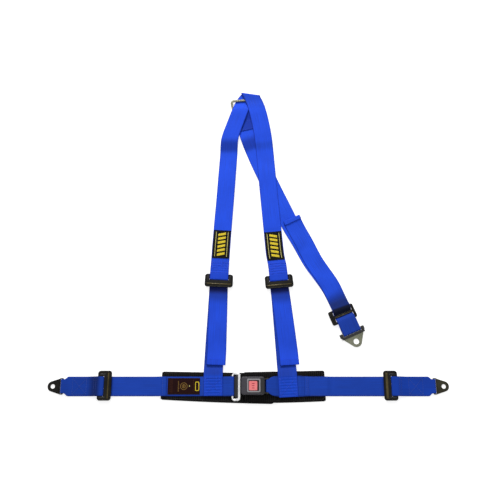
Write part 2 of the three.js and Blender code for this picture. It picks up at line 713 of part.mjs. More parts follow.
// Steel channel with side flanges, a window under the latch and a stop for the spring.
function buckleBase() {
  const left = BUCKLE_LEFT + 4;
  const plate = box(left, BUCKLE_RIGHT - 0.5, -FLANGE, FLANGE, BASE_Z, BASE_Z + BASE_THICK);
  const flanges = [-1, 1].map((side) => {
    const outline = roundedRect(new THREE.Shape(), left, PIN.x + 4.4, BASE_Z, 19.4, 3.5);
    return new THREE.ExtrudeGeometry(outline, { depth: 1.8, bevelEnabled: false })
      .rotateX(Math.PI / 2).translate(0, side > 0 ? FLANGE : -FLANGE + 1.8, 0);
  });
  const stop = box(38.4, 40, -5, 5, BASE_Z, 18);
  const window = box(1, 33.6, -14.4, 14.4, BASE_Z - 1, BASE_Z + BASE_THICK + 1);
  const pinHole = rod(PIN.radius + 0.3, 60).translate(PIN.x, 0, PIN.z);
  const rivetHoles = [-1, 1].map((side) => rod(1.8, 12).rotateX(Math.PI / 2)
    .translate(36, side * 5.6, BASE_Z));
  return cut(join(plate, ...flanges, stop), window, pinHole, ...rivetHoles);
}

function webbingPin() {
  const heads = [-1, 1].map((side) => rod(3.8, 1.2)
    .translate(PIN.x, side * (FLANGE + 1), PIN.z));
  return join(rod(PIN.radius, 2 * FLANGE + 1.6).translate(PIN.x, 0, PIN.z), ...heads);
}

// Spring-steel leaf whose tooth stands in the blade's hole; its wings carry the legs
// of the button.
function latchLeaf() {
  const top = LEAF_Z + 0.8;
  const strap = box(9, 37.9, -7.6, 7.6, LEAF_Z, top);
  const wings = box(8, 16, -14, 14, LEAF_Z, top);
  const tooth = box(8, 11.6, -4.6, 4.6, LEAF_Z, BLADE_Z + BLADE_THICK - 0.4);
  const rivetHoles = [-1, 1].map((side) => rod(1.8, 12).rotateX(Math.PI / 2)
    .translate(36, side * 5.6, LEAF_Z));
  return cut(join(strap, wings, tooth), ...rivetHoles);
}

function leafRivet(side) {
  const shank = rod(1.5, 3.4, 16).rotateX(Math.PI / 2).translate(36, side * 5.6, LEAF_Z);
  const head = rod(2.4, 1, 16).rotateX(Math.PI / 2).translate(36, side * 5.6, LEAF_Z + 1.6);
  return join(shank, head);
}

function ejector() {
  const block = box(20.4, 27, -7, 7, BLADE_Z, 17.2);
  const peg = rod(1, 4, 16).rotateZ(Math.PI / 2).translate(28, 0, 15.7);
  return join(block, peg);
}

// A round-wire spring along X.
function ejectorSpring() {
  const [from, to, radius, turns] = [27.9, 37.4, 1.9, 4];
  class Helix extends THREE.Curve {
    getPoint(t, target = new THREE.Vector3()) {
      const angle = t * turns * Math.PI * 2;
      return target.set(from + (to - from) * t, radius * Math.cos(angle),
        15.7 + radius * Math.sin(angle));
    }
  }
  const wire = new THREE.Shape().absarc(0, 0, 0.35, 0, Math.PI * 2, false);
  return new THREE.ExtrudeGeometry(wire, {
    steps: 10 * turns, curveSegments: 3, bevelEnabled: false, extrudePath: new Helix(),
  });
}

function pushButton() {
  const half = BUTTON.size / 2;
  const cap = slab(roundedRect(new THREE.Shape(), BUTTON.x - half, BUTTON.x + half,
    -half, half, 2), BUCKLE_TOP - 3, BUCKLE_TOP + 1.6, 0.6);
  const flange = box(BUTTON.x - half - 1.5, BUTTON.x + half + 1.5, -half - 1.5, half + 1.5,
    BUCKLE_TOP - 4, BUCKLE_TOP - 2.4);
  const legs = [-1, 1].map((side) => box(8, 16, side * 12.4 - 1.2, side * 12.4 + 1.2,
    LEAF_Z + 0.8 + GAP, BUCKLE_TOP - 3));
  return join(cap, flange, ...legs);
}

function bezel() {
  const outer = roundedRect(new THREE.Shape(), BUTTON.x - 17, BUTTON.x + 17, -17, 17, 3);
  const half = BUTTON.size / 2 + 0.6;
  outer.holes.push(roundedRect(new THREE.Path(), BUTTON.x - half, BUTTON.x + half,
    -half, half, 2));
  return slab(outer, BUCKLE_TOP + 0.3, BUCKLE_TOP + 1.3, 0.3);
}

// Rod ring for the webbing, tilted down from the flat blade that enters the buckle.
function tongue() {
  const bladeMid = BLADE_Z + BLADE_THICK / 2;
  const tilt = Math.atan2(bladeMid - TONGUE_LOW, TONGUE_RIGHT - TONGUE_LEFT);
  const width = (TONGUE_RIGHT - TONGUE_LEFT) / Math.cos(tilt) + RING_ROD;
  const ring = rodRing(width, 72, 8, RING_ROD)
    .rotateY(-tilt)
    .translate((TONGUE_LEFT + TONGUE_RIGHT) / 2, -1.5, (bladeMid + TONGUE_LOW) / 2);
  const outline = roundedRect(new THREE.Shape(), TONGUE_RIGHT - 1, 20, -10.5, 10.5, 3);
  outline.holes.push(roundedRect(new THREE.Path(), 7, 17, -5.4, 5.4, 0.8));
  return join(ring, slab(outline, BLADE_Z, BLADE_Z + BLADE_THICK));
}

// ---- assembly ----------------------------------------------------------------
addMesh(harness, 'left_lap_strap', leftLapStrap(), 'lapWebbing');
addMesh(harness, 'right_lap_strap', rightLapStrap(), 'lapWebbing');
addMesh(harness, 'left_end_strap', endStrap(-1, LEFT_LAP_ADJUSTER_X), 'lapWebbing');
addMesh(harness, 'right_end_strap', endStrap(1, RIGHT_LAP_ADJUSTER_X), 'lapWebbing');
addAdjuster('left_lap', -LEFT_LAP_ADJUSTER_X, LAP_ADJUSTER_Y, 0);
addAdjuster('right_lap', RIGHT_LAP_ADJUSTER_X, LAP_ADJUSTER_Y, Math.PI);
addMesh(place(-PLATE_BAR_X, 0, Math.PI), 'left_lap_anchor_plate',
  anchorPlate(LAP_PLATE), 'blackSteel');
addMesh(place(PLATE_BAR_X, 0, 0), 'right_lap_anchor_plate',
  anchorPlate(LAP_PLATE), 'blackSteel');

addPad('left_lap_pad', LEFT_PAD, leftPad());
addPad('right_lap_pad', RIGHT_PAD, rightPad());
addMesh(harness, 'lap_label', box(-208, -125, -21, 21, PAD_LAYER + 1, PAD_LAYER + 1.8),
  'label');

const leftLowerLine = new FloorLine([
  [-90, -24], [-90.8, 30], [-90.2, 60], [-85, 165],
  up(LEFT_ADJUSTER, -60), up(LEFT_ADJUSTER, -38), up(LEFT_ADJUSTER, 0), up(LEFT_ADJUSTER, 9)]);
const rightLowerLine = new FloorLine([
  [104.2, -24], [101.8, 25], [99.6, 60], [92.2, 165],
  up(RIGHT_ADJUSTER, -60), up(RIGHT_ADJUSTER, -38), up(RIGHT_ADJUSTER, 0),
  up(RIGHT_ADJUSTER, 9)]);
addMesh(harness, 'left_lower_strap',
  lowerStrap(leftLowerLine, LEFT_ADJUSTER.y, 8.9, 56, 6), 'webbing');
addMesh(harness, 'right_lower_strap',
  lowerStrap(rightLowerLine, RIGHT_ADJUSTER.y, 9.4, 55, 8), 'webbing');
addMesh(harness, 'shoulder_strap', shoulderStrap(), 'webbing');
addAdjuster('left_shoulder', LEFT_ADJUSTER.x, LEFT_ADJUSTER.y,
  LEFT_ADJUSTER.turn - Math.PI / 2);
addAdjuster('right_shoulder', RIGHT_ADJUSTER.x, RIGHT_ADJUSTER.y,
  RIGHT_ADJUSTER.turn - Math.PI / 2);
addMesh(harness, 'left_shoulder_label', shoulderLabel(leftShoulderLine, 345.5, 426), 'label');
addMesh(harness, 'right_shoulder_label', shoulderLabel(rightShoulderLine, 340.5, 422),
  'label');

addMesh(place(RING_CENTRE.x, RING_CENTRE.y, RING_TURN), 'shoulder_ring',
  rodRing(RING_SIZE.x, RING_SIZE.y, 8, RING_ROD).translate(0, 0, RING_Z), 'chrome');
addMesh(harness, 'rear_strap', rearStrap(), 'webbing');
const triglideAt = rearLine.at(TRIGLIDE.along);
const rearBarAt = rearLine.at(REAR_BAR_ALONG);
const rearTurn = (at) => Math.atan2(at.across.x, -at.across.y);
addMesh(place(triglideAt.point.x, triglideAt.point.y, rearTurn(triglideAt)),
  'rear_adjuster', triglide(), 'blackSteel');
const rearPlace = place(rearBarAt.point.x, rearBarAt.point.y, rearTurn(rearBarAt));
addMesh(rearPlace, 'rear_anchor_plate', anchorPlate(REAR_PLATE), 'bareSteel');
addMesh(rearPlace, 'rear_plate_cap_1', cornerCap(-1), 'blackPlastic');
addMesh(rearPlace, 'rear_plate_cap_2', cornerCap(1), 'blackPlastic');

addMesh(harness, 'buckle_cover', buckleCover(), 'greyPlastic');
addMesh(harness, 'buckle_floor', buckleFloor(), 'greyPlastic');
addMesh(harness, 'buckle_base', buckleBase(), 'bareSteel');
addMesh(harness, 'webbing_pin', webbingPin(), 'bareSteel');
addMesh(harness, 'latch_leaf', latchLeaf(), 'spring');
addMesh(harness, 'leaf_rivet_1', leafRivet(-1), 'bareSteel');
addMesh(harness, 'leaf_rivet_2', leafRivet(1), 'bareSteel');
addMesh(harness, 'ejector', ejector(), 'blackPlastic');
addMesh(harness, 'ejector_spring', ejectorSpring(), 'spring');
addMesh(harness, 'push_button', pushButton(), 'button');
addMesh(harness, 'button_bezel', bezel(), 'bezel');
addMesh(harness, 'latch_tongue', tongue(), 'chrome');

// The origin is the middle of the footprint, on the floor.
harness.updateMatrixWorld(true);
const extent = new THREE.Box3().setFromObject(harness, true);
const middle = extent.getCenter(new THREE.Vector3());
harness.position.set(-middle.x, -middle.y, 0);

export default harness;
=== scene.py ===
"""Looks of a racing harness laid out flat: webbing, pads, steel and buckle.

Lengths below are millimetres in the layout's own axes: X along the lap belts, Y up the
shoulder belts, Z up, with the lap belts' centre line at Y = 0. Form.piece() turns them
into metres in the frame's axes.
"""

import math

import bmesh
import bpy
import numpy as np
from mathutils import Matrix, Vector
from mathutils.geometry import tessellate_polygon

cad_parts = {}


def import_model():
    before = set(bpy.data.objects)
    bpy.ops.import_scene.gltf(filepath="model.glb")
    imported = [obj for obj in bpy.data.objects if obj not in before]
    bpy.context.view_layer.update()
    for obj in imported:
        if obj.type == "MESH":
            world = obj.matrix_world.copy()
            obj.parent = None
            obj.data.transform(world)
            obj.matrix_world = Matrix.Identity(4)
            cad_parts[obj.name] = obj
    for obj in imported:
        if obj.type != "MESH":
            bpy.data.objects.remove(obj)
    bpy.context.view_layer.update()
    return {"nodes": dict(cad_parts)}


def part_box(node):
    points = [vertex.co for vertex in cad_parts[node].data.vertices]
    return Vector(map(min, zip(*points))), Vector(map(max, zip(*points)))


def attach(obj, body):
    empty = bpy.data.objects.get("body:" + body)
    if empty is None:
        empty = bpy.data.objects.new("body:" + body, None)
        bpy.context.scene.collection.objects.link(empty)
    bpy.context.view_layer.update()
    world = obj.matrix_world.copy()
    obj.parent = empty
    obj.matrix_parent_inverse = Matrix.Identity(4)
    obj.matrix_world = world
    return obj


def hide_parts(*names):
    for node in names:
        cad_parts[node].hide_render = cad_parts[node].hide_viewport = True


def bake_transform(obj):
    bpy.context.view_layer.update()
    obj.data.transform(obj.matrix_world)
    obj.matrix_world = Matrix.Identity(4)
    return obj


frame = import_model()

MM = 0.001
BUTTON_X = 14.2
_low, _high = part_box("push_button")
_middle = (_low + _high) / 2
OFFSET = Vector((_middle.x - BUTTON_X * MM, _middle.y, 0))


def world(x, y, z):
    """A layout point in millimetres as a point of the frame in metres."""
    return Vector((x, y, z)) * MM + OFFSET


def link(name, data):
    """A new object in the scene."""
    made = bpy.data.objects.new(name, data)
    bpy.context.collection.objects.link(made)
    return made


def smooth(mesh, sharp=38):
    """Smooth shading, with edges sharper than an angle in degrees kept crisp."""
    mesh.polygons.foreach_set("use_smooth", [True] * len(mesh.polygons))
    mesh.set_sharp_from_angle(angle=math.radians(sharp))


# ---- camera ----------------------------------------------------------------------
def make_camera():
    data = bpy.data.cameras.new("camera")
    data.lens, data.sensor_width = 46.8, 36
    camera = link("camera", data)
    camera.location = world(4.55, -154.25, 1714.7)
    camera.rotation_euler.x = math.radians(17)
    bpy.context.scene.camera = camera


make_camera()


# ---- materials, light and floor ----------------------------------------------------
def srgb(red, green, blue):
    """An 8-bit sRGB colour as the linear colour that sockets take."""
    def linear(value):
        value /= 255
        return value / 12.92 if value <= 0.04045 else ((value + 0.055) / 1.055) ** 2.4
    return (linear(red), linear(green), linear(blue), 1)


def scaled(colour, factor):
    return (*[min(c * factor, 1) for c in colour[:3]], 1)


class Shader:
    """A material's node tree, built by short calls."""

    def __init__(self, name, **sockets):
        self.material = bpy.data.materials.new(name)
        self.material.use_nodes = True
        self.tree = self.material.node_tree
        self.bsdf = self.tree.nodes["Principled BSDF"]
        for socket, value in sockets.items():
            self.bsdf.inputs[socket.replace("_", " ")].default_value = value

    def node(self, kind, inputs=None, **settings):
        made = self.tree.nodes.new("ShaderNode" + kind)
        for key, value in settings.items():
            setattr(made, key, value)
        for key, value in (inputs or {}).items():
            self.feed(made.inputs[key], value)
        return made

    def feed(self, socket, value):
        if isinstance(value, bpy.types.NodeSocket):
            self.tree.links.new(value, socket)
        else:
            socket.default_value = value

    def math(self, operation, *values):
        inputs = dict(enumerate(values))
        return self.node("Math", inputs, operation=operation).outputs[0]

    def times(self, first, second):
        return self.math("MULTIPLY", first, second)

    def plus(self, first, second):
        return self.math("ADD", first, second)

    def place(self):
        return self.node("TexCoord").outputs["Object"]

    def along_across(self):
        uv = self.node("UVMap", uv_map="strap").outputs["UV"]
        parts = self.node("SeparateXYZ", {"Vector": uv})
        return parts.outputs["X"], parts.outputs["Y"]

    def noise(self, vector, scale, detail=2.0, roughness=0.5):
        inputs = {"Vector": vector, "Scale": scale, "Detail": detail, "Roughness": roughness}
        return self.node("TexNoise", inputs).outputs["Fac"]

    def span(self, value, low, high, to_low=0.0, to_high=1.0):
        inputs = {"Value": value, "From Min": low, "From Max": high,
                  "To Min": to_low, "To Max": to_high}
        return self.node("MapRange", inputs, interpolation_type="SMOOTHSTEP").outputs[0]

    def mix(self, share, first, second, blend="MIX"):
        made = self.node("Mix", data_type="RGBA", blend_type=blend)
        self.feed(made.inputs[0], share)
        self.feed(made.inputs[6], first)
        self.feed(made.inputs[7], second)
        return made.outputs[2]

    def bump(self, height, distance, strength=1.0, normal=None):
        inputs = {"Height": height, "Distance": distance, "Strength": strength}
        if normal is not None:
            inputs["Normal"] = normal
        return self.node("Bump", inputs).outputs["Normal"]

    def done(self, colour=None, roughness=None, normal=None):
        for socket, value in (("Base Color", colour), ("Roughness", roughness), ("Normal", normal)):
            if value is not None:
                self.feed(self.bsdf.inputs[socket], value)
        return self.material


def area_light(name, place, size, power):
    """A square lamp aimed at the origin."""
    data = bpy.data.lights.new(name, "AREA")
    data.shape, data.size, data.energy = "SQUARE", size, power
    lamp = link(name, data)
    lamp.location = place
    lamp.rotation_euler = (-Vector(place)).to_track_quat("-Z", "Y").to_euler()


def make_stage():
    scene = bpy.context.scene
    scene.view_settings.view_transform = "Standard"
    scene.world = bpy.data.worlds.new("studio")
    scene.world.use_nodes = True
    tree = scene.world.node_tree
    background = tree.nodes["Background"]
    background.inputs["Color"].default_value = (1, 1, 1, 1)
    direction, split, overhead = (tree.nodes.new("ShaderNode" + kind)
                                  for kind in ("TexCoord", "SeparateXYZ", "MapRange"))
    for name, value in {"From Min": 0.55, "From Max": 0.85, "To Min": 0.24, "To Max": 0.92}.items():
        overhead.inputs[name].default_value = value
    tree.links.new(direction.outputs["Generated"], split.inputs["Vector"])
    tree.links.new(split.outputs["Z"], overhead.inputs["Value"])
    tree.links.new(overhead.outputs["Result"], background.inputs["Strength"])
    area_light("key", (-0.9, 4.2, 3.0), 1.8, 235)
    area_light("fill", (1.2, -1.4, 2.6), 2.2, 5)
    half, just_under = 9, -0.0004
    mesh = bpy.data.meshes.new("floor")
    mesh.from_pydata([(-half, -half, just_under), (half, -half, just_under),
                      (half, half, just_under), (-half, half, just_under)], [], [(0, 1, 2, 3)])
    mesh.materials.append(Shader(
        "floor_pale", Base_Color=(0.58, 0.58, 0.58, 1), Emission_Color=(1, 1, 1, 1),
        Emission_Strength=0.66, Roughness=0.9, Specular_IOR_Level=0.1).material)
    link("floor", mesh)


make_stage()


def webbing_material(name, colour, edge, zones=(), rib=1.35):
    """Woven polyester: warp ribs along the strap, crossed by a finer weft. Each zone is
    (start, end, colour): the webbing turns to that colour over a stretch of its length."""
    s = Shader(name, Sheen_Weight=0.04, Sheen_Roughness=0.5, Specular_IOR_Level=0.12)
    along, across = s.along_across()
    for start, end, other in zones:
        colour = s.mix(s.span(along, start, end), colour, other)
    u = s.times(along, 1000.0)
    v = s.times(across, 1000.0)
    row = s.math("FLOOR", s.math("DIVIDE", v, rib))
    ribs = s.math("ABSOLUTE", s.math("SINE", s.times(v, math.pi / rib)))
    phase = s.times(row, 2.1)
    weft = s.math("SINE", s.plus(s.times(u, 2 * math.pi / 1.9), phase))
    height = s.plus(s.times(ribs, 0.7), s.times(weft, 0.3))
    yarn_at = s.node("CombineXYZ", {"X": s.times(along, 14.0), "Y": s.times(across, 900.0)})
    yarn = s.noise(yarn_at.outputs[0], 1.0, 3.0)
    cloud = s.noise(s.place(), 16.0, 3.0)
    tone = s.plus(s.span(yarn, 0.3, 0.7, 0.86, 1.1), s.span(cloud, 0.3, 0.7, -0.05, 0.05))
    tone = s.times(tone, s.span(height, -0.2, 1.0, 0.86, 1.06))
    wide = s.math("ABSOLUTE", v)
    # Both selvedges turn part way to the edge colour: painted edge shade.
    body = s.mix(s.span(wide, 22.9, 24.3, 0.0, 0.6), colour, edge)
    grey = s.node("CombineColor", {0: tone, 1: tone, 2: tone}).outputs[0]
    shade = s.mix(1.0, body, grey, "MULTIPLY")
    normal = s.bump(height, 0.00012, 0.55)
    normal = s.bump(cloud, 0.004, 0.25, normal)
    return s.done(shade, s.span(yarn, 0.2, 0.8, 0.62, 0.86), normal)


def thread_material(name, colour):
    s = Shader(name, Sheen_Weight=0.2)
    twist = s.noise(s.place(), 900.0, 2.0)
    shade = s.mix(s.span(twist, 0.3, 0.7), scaled(colour, 0.8), scaled(colour, 1.15))
    return s.done(shade, s.span(twist, 0.2, 0.8, 0.5, 0.75), s.bump(twist, 0.0002, 0.4))


def cloth_material(name, colour, light, pitch=1.0, rib=0.0):
    """Fine plain weave or knit, placed by the object's own coordinates. rib is the pitch
    of lighter ribs across the piece's own length."""
    s = Shader(name, Specular_IOR_Level=0.12)
    place = s.node("SeparateXYZ", {"Vector": s.place()})
    x = s.math("SINE", s.times(place.outputs["X"], 2000 * math.pi / pitch))
    y = s.math("SINE", s.times(place.outputs["Y"], 2000 * math.pi / pitch))
    knit = s.times(x, y)
    fuzz = s.noise(s.place(), 420.0, 4.0, 0.6)
    share = s.plus(s.span(knit, -1.0, 1.0, 0.0, 0.35), s.span(fuzz, 0.45, 0.75, 0.0, 0.4))
    if rib:
        turn = s.times(s.along_across()[0], 1000 * math.pi / rib)
        crest = s.math("ABSOLUTE", s.math("SINE", turn))
        share = s.times(share, s.span(crest, 0.3, 1.0, 0.1, 2.0))
    normal = s.bump(s.plus(knit, fuzz), 0.0003, 0.5)
    return s.done(s.mix(share, colour, light), s.span(fuzz, 0.3, 0.7, 0.8, 0.98), normal)


def steel_material(name, colour, worn, roughness=0.4, wear=0.6, metallic=0.9, specular=0.5):
    """Plated or coated steel: mottled coat, rubbed edges and fine scratches."""
    s = Shader(name, Metallic=metallic, Specular_IOR_Level=specular)
    mottle = s.noise(s.place(), 260.0, 5.0, 0.6)
    cast = s.noise(s.place(), 45.0, 3.0)
    stretched = s.node("Mapping", {"Vector": s.place(), "Scale": (260.0, 3200.0, 900.0)})
    scratch = s.noise(stretched.outputs[0], 1.0, 3.0, 0.7)
    point = s.node("NewGeometry").outputs["Pointiness"]
    rubbed = s.times(s.span(point, 0.51, 0.58), s.span(mottle, 0.35, 0.6, 0.3, 1.0))
    rubbed = s.times(rubbed, wear)
    coat = s.mix(s.span(mottle, 0.3, 0.7), scaled(colour, 0.8), scaled(colour, 1.25))
    coat = s.mix(s.span(cast, 0.35, 0.7, 0.0, 0.3), coat, worn)
    shade = s.mix(rubbed, coat, worn)
    rough = s.plus(s.span(mottle, 0.3, 0.7, roughness - 0.08, roughness + 0.12),
                   s.span(scratch, 0.55, 0.8, 0.0, 0.14))
    normal = s.bump(s.plus(mottle, s.times(scratch, 0.3)), 0.00008, 0.35)
    return s.done(shade, rough, normal)


def plastic_material(name, colour, speck, grain=1400.0, roughness=0.45, depth=0.00012):
    """Moulded plastic with a fine spark-eroded grain and faint handling marks."""
    s = Shader(name, Specular_IOR_Level=0.45)
    fine = s.noise(s.place(), grain, 3.0, 0.65)
    cells = s.node("TexVoronoi", {"Vector": s.place(), "Scale": grain * 0.6})
    smear = s.noise(s.place(), 38.0, 4.0)
    share = s.plus(s.span(fine, 0.5, 0.75, 0.0, 0.5), s.span(smear, 0.45, 0.8, 0.0, 0.25))
    height = s.plus(fine, s.times(cells.outputs["Distance"], 0.5))
    rough = s.span(smear, 0.3, 0.7, roughness - 0.07, roughness + 0.1)
    return s.done(s.mix(share, colour, speck), rough, s.bump(height, depth, 0.5))


# Selvedge colours: darker blues laid along both edges of the straps as painted edge shade.
SELVEDGE_SHADE_BLUE, SELVEDGE_SHADE_LAP = srgb(14, 36, 128), srgb(14, 34, 96)
LAP_BLUE = webbing_material("webbing_lap", srgb(22, 62, 165), SELVEDGE_SHADE_LAP)
# The left end strap darkens in a short band just outboard of its adjuster frame, then turns back:
# painted shade.
END_PAINTED_SHADE = srgb(9, 34, 98)
LEFT_END = webbing_material("webbing_left_end", srgb(15, 55, 149), SELVEDGE_SHADE_LAP, (
    (0.07, 0.082, END_PAINTED_SHADE), (0.088, 0.112, srgb(15, 55, 149))))
RIGHT_END = webbing_material("webbing_right_end", srgb(15, 57, 158), SELVEDGE_SHADE_LAP)
# Lower straps: the tail darkens to a deep blue just after it comes out under its adjuster, then
# fades back to blue: painted shadow of the frame.
ADJUSTER_PAINTED_SHADOW = srgb(13, 26, 92)
LOWER_BLUE = webbing_material("webbing_lower", srgb(20, 67, 191), SELVEDGE_SHADE_BLUE, (
    (0.048, 0.056, srgb(24, 60, 168)), (0.3, 0.315, ADJUSTER_PAINTED_SHADOW),
    (0.336, 0.352, srgb(22, 56, 162)), (0.352, 0.38, srgb(30, 73, 211))))
# Darker blue for the bands where the rear and shoulder belts slope up to and down from the ring:
# painted shade.
SLOPE_PAINTED_SHADE = srgb(22, 58, 174)
# Rear strap: a painted shade band on its slope below the ring, and painted shade that deepens to
# near black in the three-bar slide's slot, then lifts again past its middle bar.
REAR_BLUE = webbing_material("webbing_rear", srgb(19, 54, 166), SELVEDGE_SHADE_BLUE, (
    (0.05, 0.09, srgb(31, 77, 218)), (0.157, 0.178, SLOPE_PAINTED_SHADE),
    (0.196, 0.216, srgb(31, 77, 218)), (0.6, 0.7, srgb(24, 70, 193)),
    (0.79, 0.81, srgb(22, 58, 158)), (0.868, 0.876, srgb(8, 14, 40)),
    (0.89, 0.896, srgb(14, 38, 108)), (0.905, 0.95, srgb(31, 76, 215))))
THREAD = thread_material("thread_blue", srgb(30, 72, 208))
LAP_THREAD = thread_material("thread_lap", srgb(26, 60, 156))
END_THREAD = thread_material("thread_end", srgb(18, 52, 142))
PAD_CLOTH = cloth_material("pad_knit", srgb(4, 4, 7), srgb(38, 36, 32), 1.4, 5.4)
PAD_THREAD = thread_material("thread_black", srgb(20, 19, 22))
LABEL_CLOTH = cloth_material("label_black", srgb(12, 12, 15), srgb(28, 27, 30), 0.6)
LABEL_MAROON = cloth_material("label_maroon", srgb(26, 8, 10), srgb(52, 20, 20), 0.6)
YELLOW = cloth_material("label_yellow", srgb(212, 186, 40), srgb(238, 218, 84), 0.7)
PALE = cloth_material("label_pale", srgb(180, 172, 100), srgb(216, 210, 144), 0.7)
GOLD = cloth_material("label_gold", srgb(112, 84, 40), srgb(160, 126, 66), 0.7)
BROWN = cloth_material("label_brown", srgb(62, 32, 24), srgb(96, 58, 40), 0.7)
BLACK_STEEL = steel_material("black_steel", srgb(12, 11, 10), srgb(44, 39, 27), 0.42, 0.4,
                             0.0, 0.16)
# Olive steel for the grip bars and the slide's middle bar: partly worn steel, partly a painted
# highlight.
WORN_AND_HIGHLIGHT_STEEL = steel_material("worn_steel_and_painted_highlight", srgb(62, 54, 28), srgb(112, 98, 58), 0.34, 0.7, 0.2, 0.3)
# Light grey steel for the frames' thin rails: painted highlight along the inner rims.
RIM_HIGHLIGHT_STEEL = steel_material("rim_painted_highlight_steel", srgb(50, 52, 60), srgb(98, 100, 108), 0.34, 0.7, 0.3)
OLIVE_STEEL = steel_material("olive_steel", srgb(40, 38, 26), srgb(84, 80, 56), 0.4, 0.5, 0.1, 0.2)
GATE_STEEL = steel_material("gate_steel", srgb(30, 28, 24), srgb(72, 66, 48), 0.38, 0.6, 0.4)
PLATED = steel_material("plated_steel", srgb(112, 114, 98), srgb(150, 150, 130), 0.32, 0.5, 0.8)
NICKEL = steel_material("nickel", srgb(112, 110, 92), srgb(168, 164, 140), 0.4, 0.5, 0.35)
BARE_STEEL = steel_material("bare_steel", srgb(150, 148, 140), srgb(190, 188, 180), 0.28, 0.4)
SPRING_STEEL = steel_material("spring_steel", srgb(128, 128, 130), srgb(170, 168, 160), 0.25)
# Chrome: near-white base at half metallic, so the bright reflection is partly painted into the
# colour.
CHROME_AND_PAINTED_REFLECTION = steel_material("chrome", srgb(250, 249, 248), srgb(255, 255, 255), 0.1, 0.2, 0.5)
BLACK_PLASTIC = plastic_material("black_plastic", srgb(18, 18, 20), srgb(40, 40, 44))
GREY_PLASTIC = plastic_material("grey_plastic", srgb(44, 42, 50), srgb(84, 82, 90),
                                900.0, 0.5, 0.0003)
BEZEL_GREY = plastic_material("bezel_grey", srgb(132, 130, 134), srgb(176, 174, 176))
BUTTON_RED = plastic_material("button_red", srgb(224, 112, 114), srgb(244, 150, 150), 1600.0, 0.36)
BUTTON_MARK = plastic_material("button_mark", srgb(160, 36, 50), srgb(186, 60, 72))
# Dark red for the button's lower flanges: painted shade in the gap round the cap.
BUTTON_PAINTED_SHADE = plastic_material("button_painted_shade", srgb(34, 8, 12), srgb(70, 18, 24))


# ---- forms -----------------------------------------------------------------------
class Form:
    """The vertices, faces, materials and strap coordinates of one piece."""

    def __init__(self, points=(), faces=(), strap=None):
        self.points = [Vector(p) for p in points]
        self.faces = list(faces)
        self.slots = [0] * len(self.faces)
        self.strap = strap or [(0, 0)] * len(self.points)

    def join(self, other, slot=None):
        first = len(self.points)
        self.points += other.points
        self.faces += [[first + i for i in face] for face in other.faces]
        self.slots += other.slots if slot is None else [slot] * len(other.faces)
        self.strap += other.strap
        return self

    def sew(self, line, u0, u1, v0, v1, z, steps, slot=None, **kind):
        """Adds stitches between two places of a line, following it."""
        path = [line.at(u0 + (u1 - u0) * i / steps, v0 + (v1 - v0) * i / steps, z)
                for i in range(steps + 1)]
        return self.join(stitches(path, **kind), slot)

    def move(self, change):
        self.points = [Vector(change(p)) for p in self.points]
        return self

    def turned(self, angle, x, y):
        matrix = Matrix.Translation((x, y, 0)) @ Matrix.Rotation(angle, 4, "Z")
        return self.move(lambda p: matrix @ p)

    def divided(self, places):
        """The same form with an edge loop at each X, so that it can bend there."""
        made = bmesh.new()
        corners = [made.verts.new(p) for p in self.points]
        for face in self.faces:
            made.faces.new([corners[i] for i in face])
        for x in places:
            parts = made.verts[:] + made.edges[:] + made.faces[:]
            bmesh.ops.bisect_plane(made, geom=parts, plane_co=(x, 0, 0), plane_no=(1, 0, 0))
        made.verts.index_update()
        cut = Form([v.co for v in made.verts], [[v.index for v in f.verts] for f in made.faces])
        made.free()
        return cut

    def piece(self, name, materials, body=None, replaces=(), slot=None, sharp=38, draped=False):
        """The Blender object. A draped form also follows the soft swell of the belts."""
        if draped:
            self.move(lambda p: (p.x, p.y, p.z + swell(p.x, p.y)))
        mesh = bpy.data.meshes.new(name)
        mesh.from_pydata([world(*p) for p in self.points], [], self.faces)
        for material in materials:
            mesh.materials.append(material)
        mesh.polygons.foreach_set("material_index", self.slots)
        layer = mesh.uv_layers.new(name="strap")
        corners = np.zeros(len(mesh.loops), np.int32)
        mesh.loops.foreach_get("vertex_index", corners)
        layer.data.foreach_set("uv", np.array(self.strap, np.float32)[corners].ravel())
        smooth(mesh, sharp)
        mesh.validate()
        made = link(name, mesh)
        if replaces:
            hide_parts(*replaces)
        if body:
            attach(made, body)
        return made


SWELL = 3.2


def swell(x, y):
    """How far the belts rise off the floor between their fittings, all layers alike."""
    upper = smoothstep(y, 350, 400) * (1 - smoothstep(y, 600, 650))
    lower_part = smoothstep(y, 95, 130) * (1 - smoothstep(y, 215, 250))
    side = smoothstep(x, 140, 160) * smoothstep(y, 240, 290) * (1 - smoothstep(y, 350, 400))
    where = max(upper, lower_part * (1 - smoothstep(x, 140, 160)), side)
    wave = math.sin(y / 27 + x / 41) * math.sin(y / 49 - x / 33 + 1.0)
    return SWELL * where * (0.5 + 0.5 * wave)


def smoothstep(value, low=0.0, high=1.0):
    t = min(max((value - low) / (high - low), 0), 1)
    return t * t * (3 - 2 * t)


def arc(x, y, radius, start, end, steps):
    """Points round a centre, from one angle in degrees to another."""
    turns = [math.radians(start + (end - start) * i / steps) for i in range(steps + 1)]
    return [(x + radius * math.cos(a), y + radius * math.sin(a)) for a in turns]


def circle(x, y, radius):
    return arc(x, y, radius, 0, 360, 40)[:-1]


def rounded(x0, x1, y0, y1, radius, steps=6):
    """The corner points of a rounded rectangle, anticlockwise."""
    low_x, high_x, low_y, high_y = x0 + radius, x1 - radius, y0 + radius, y1 - radius
    corners = (high_x, low_y, -90), (high_x, high_y, 0), (low_x, high_y, 90), (low_x, low_y, 180)
    return [p for x, y, start in corners for p in arc(x, y, radius, start, start + 90, steps)]


def at_height(loop, z):
    return [(x, y, z) for x, y in loop]


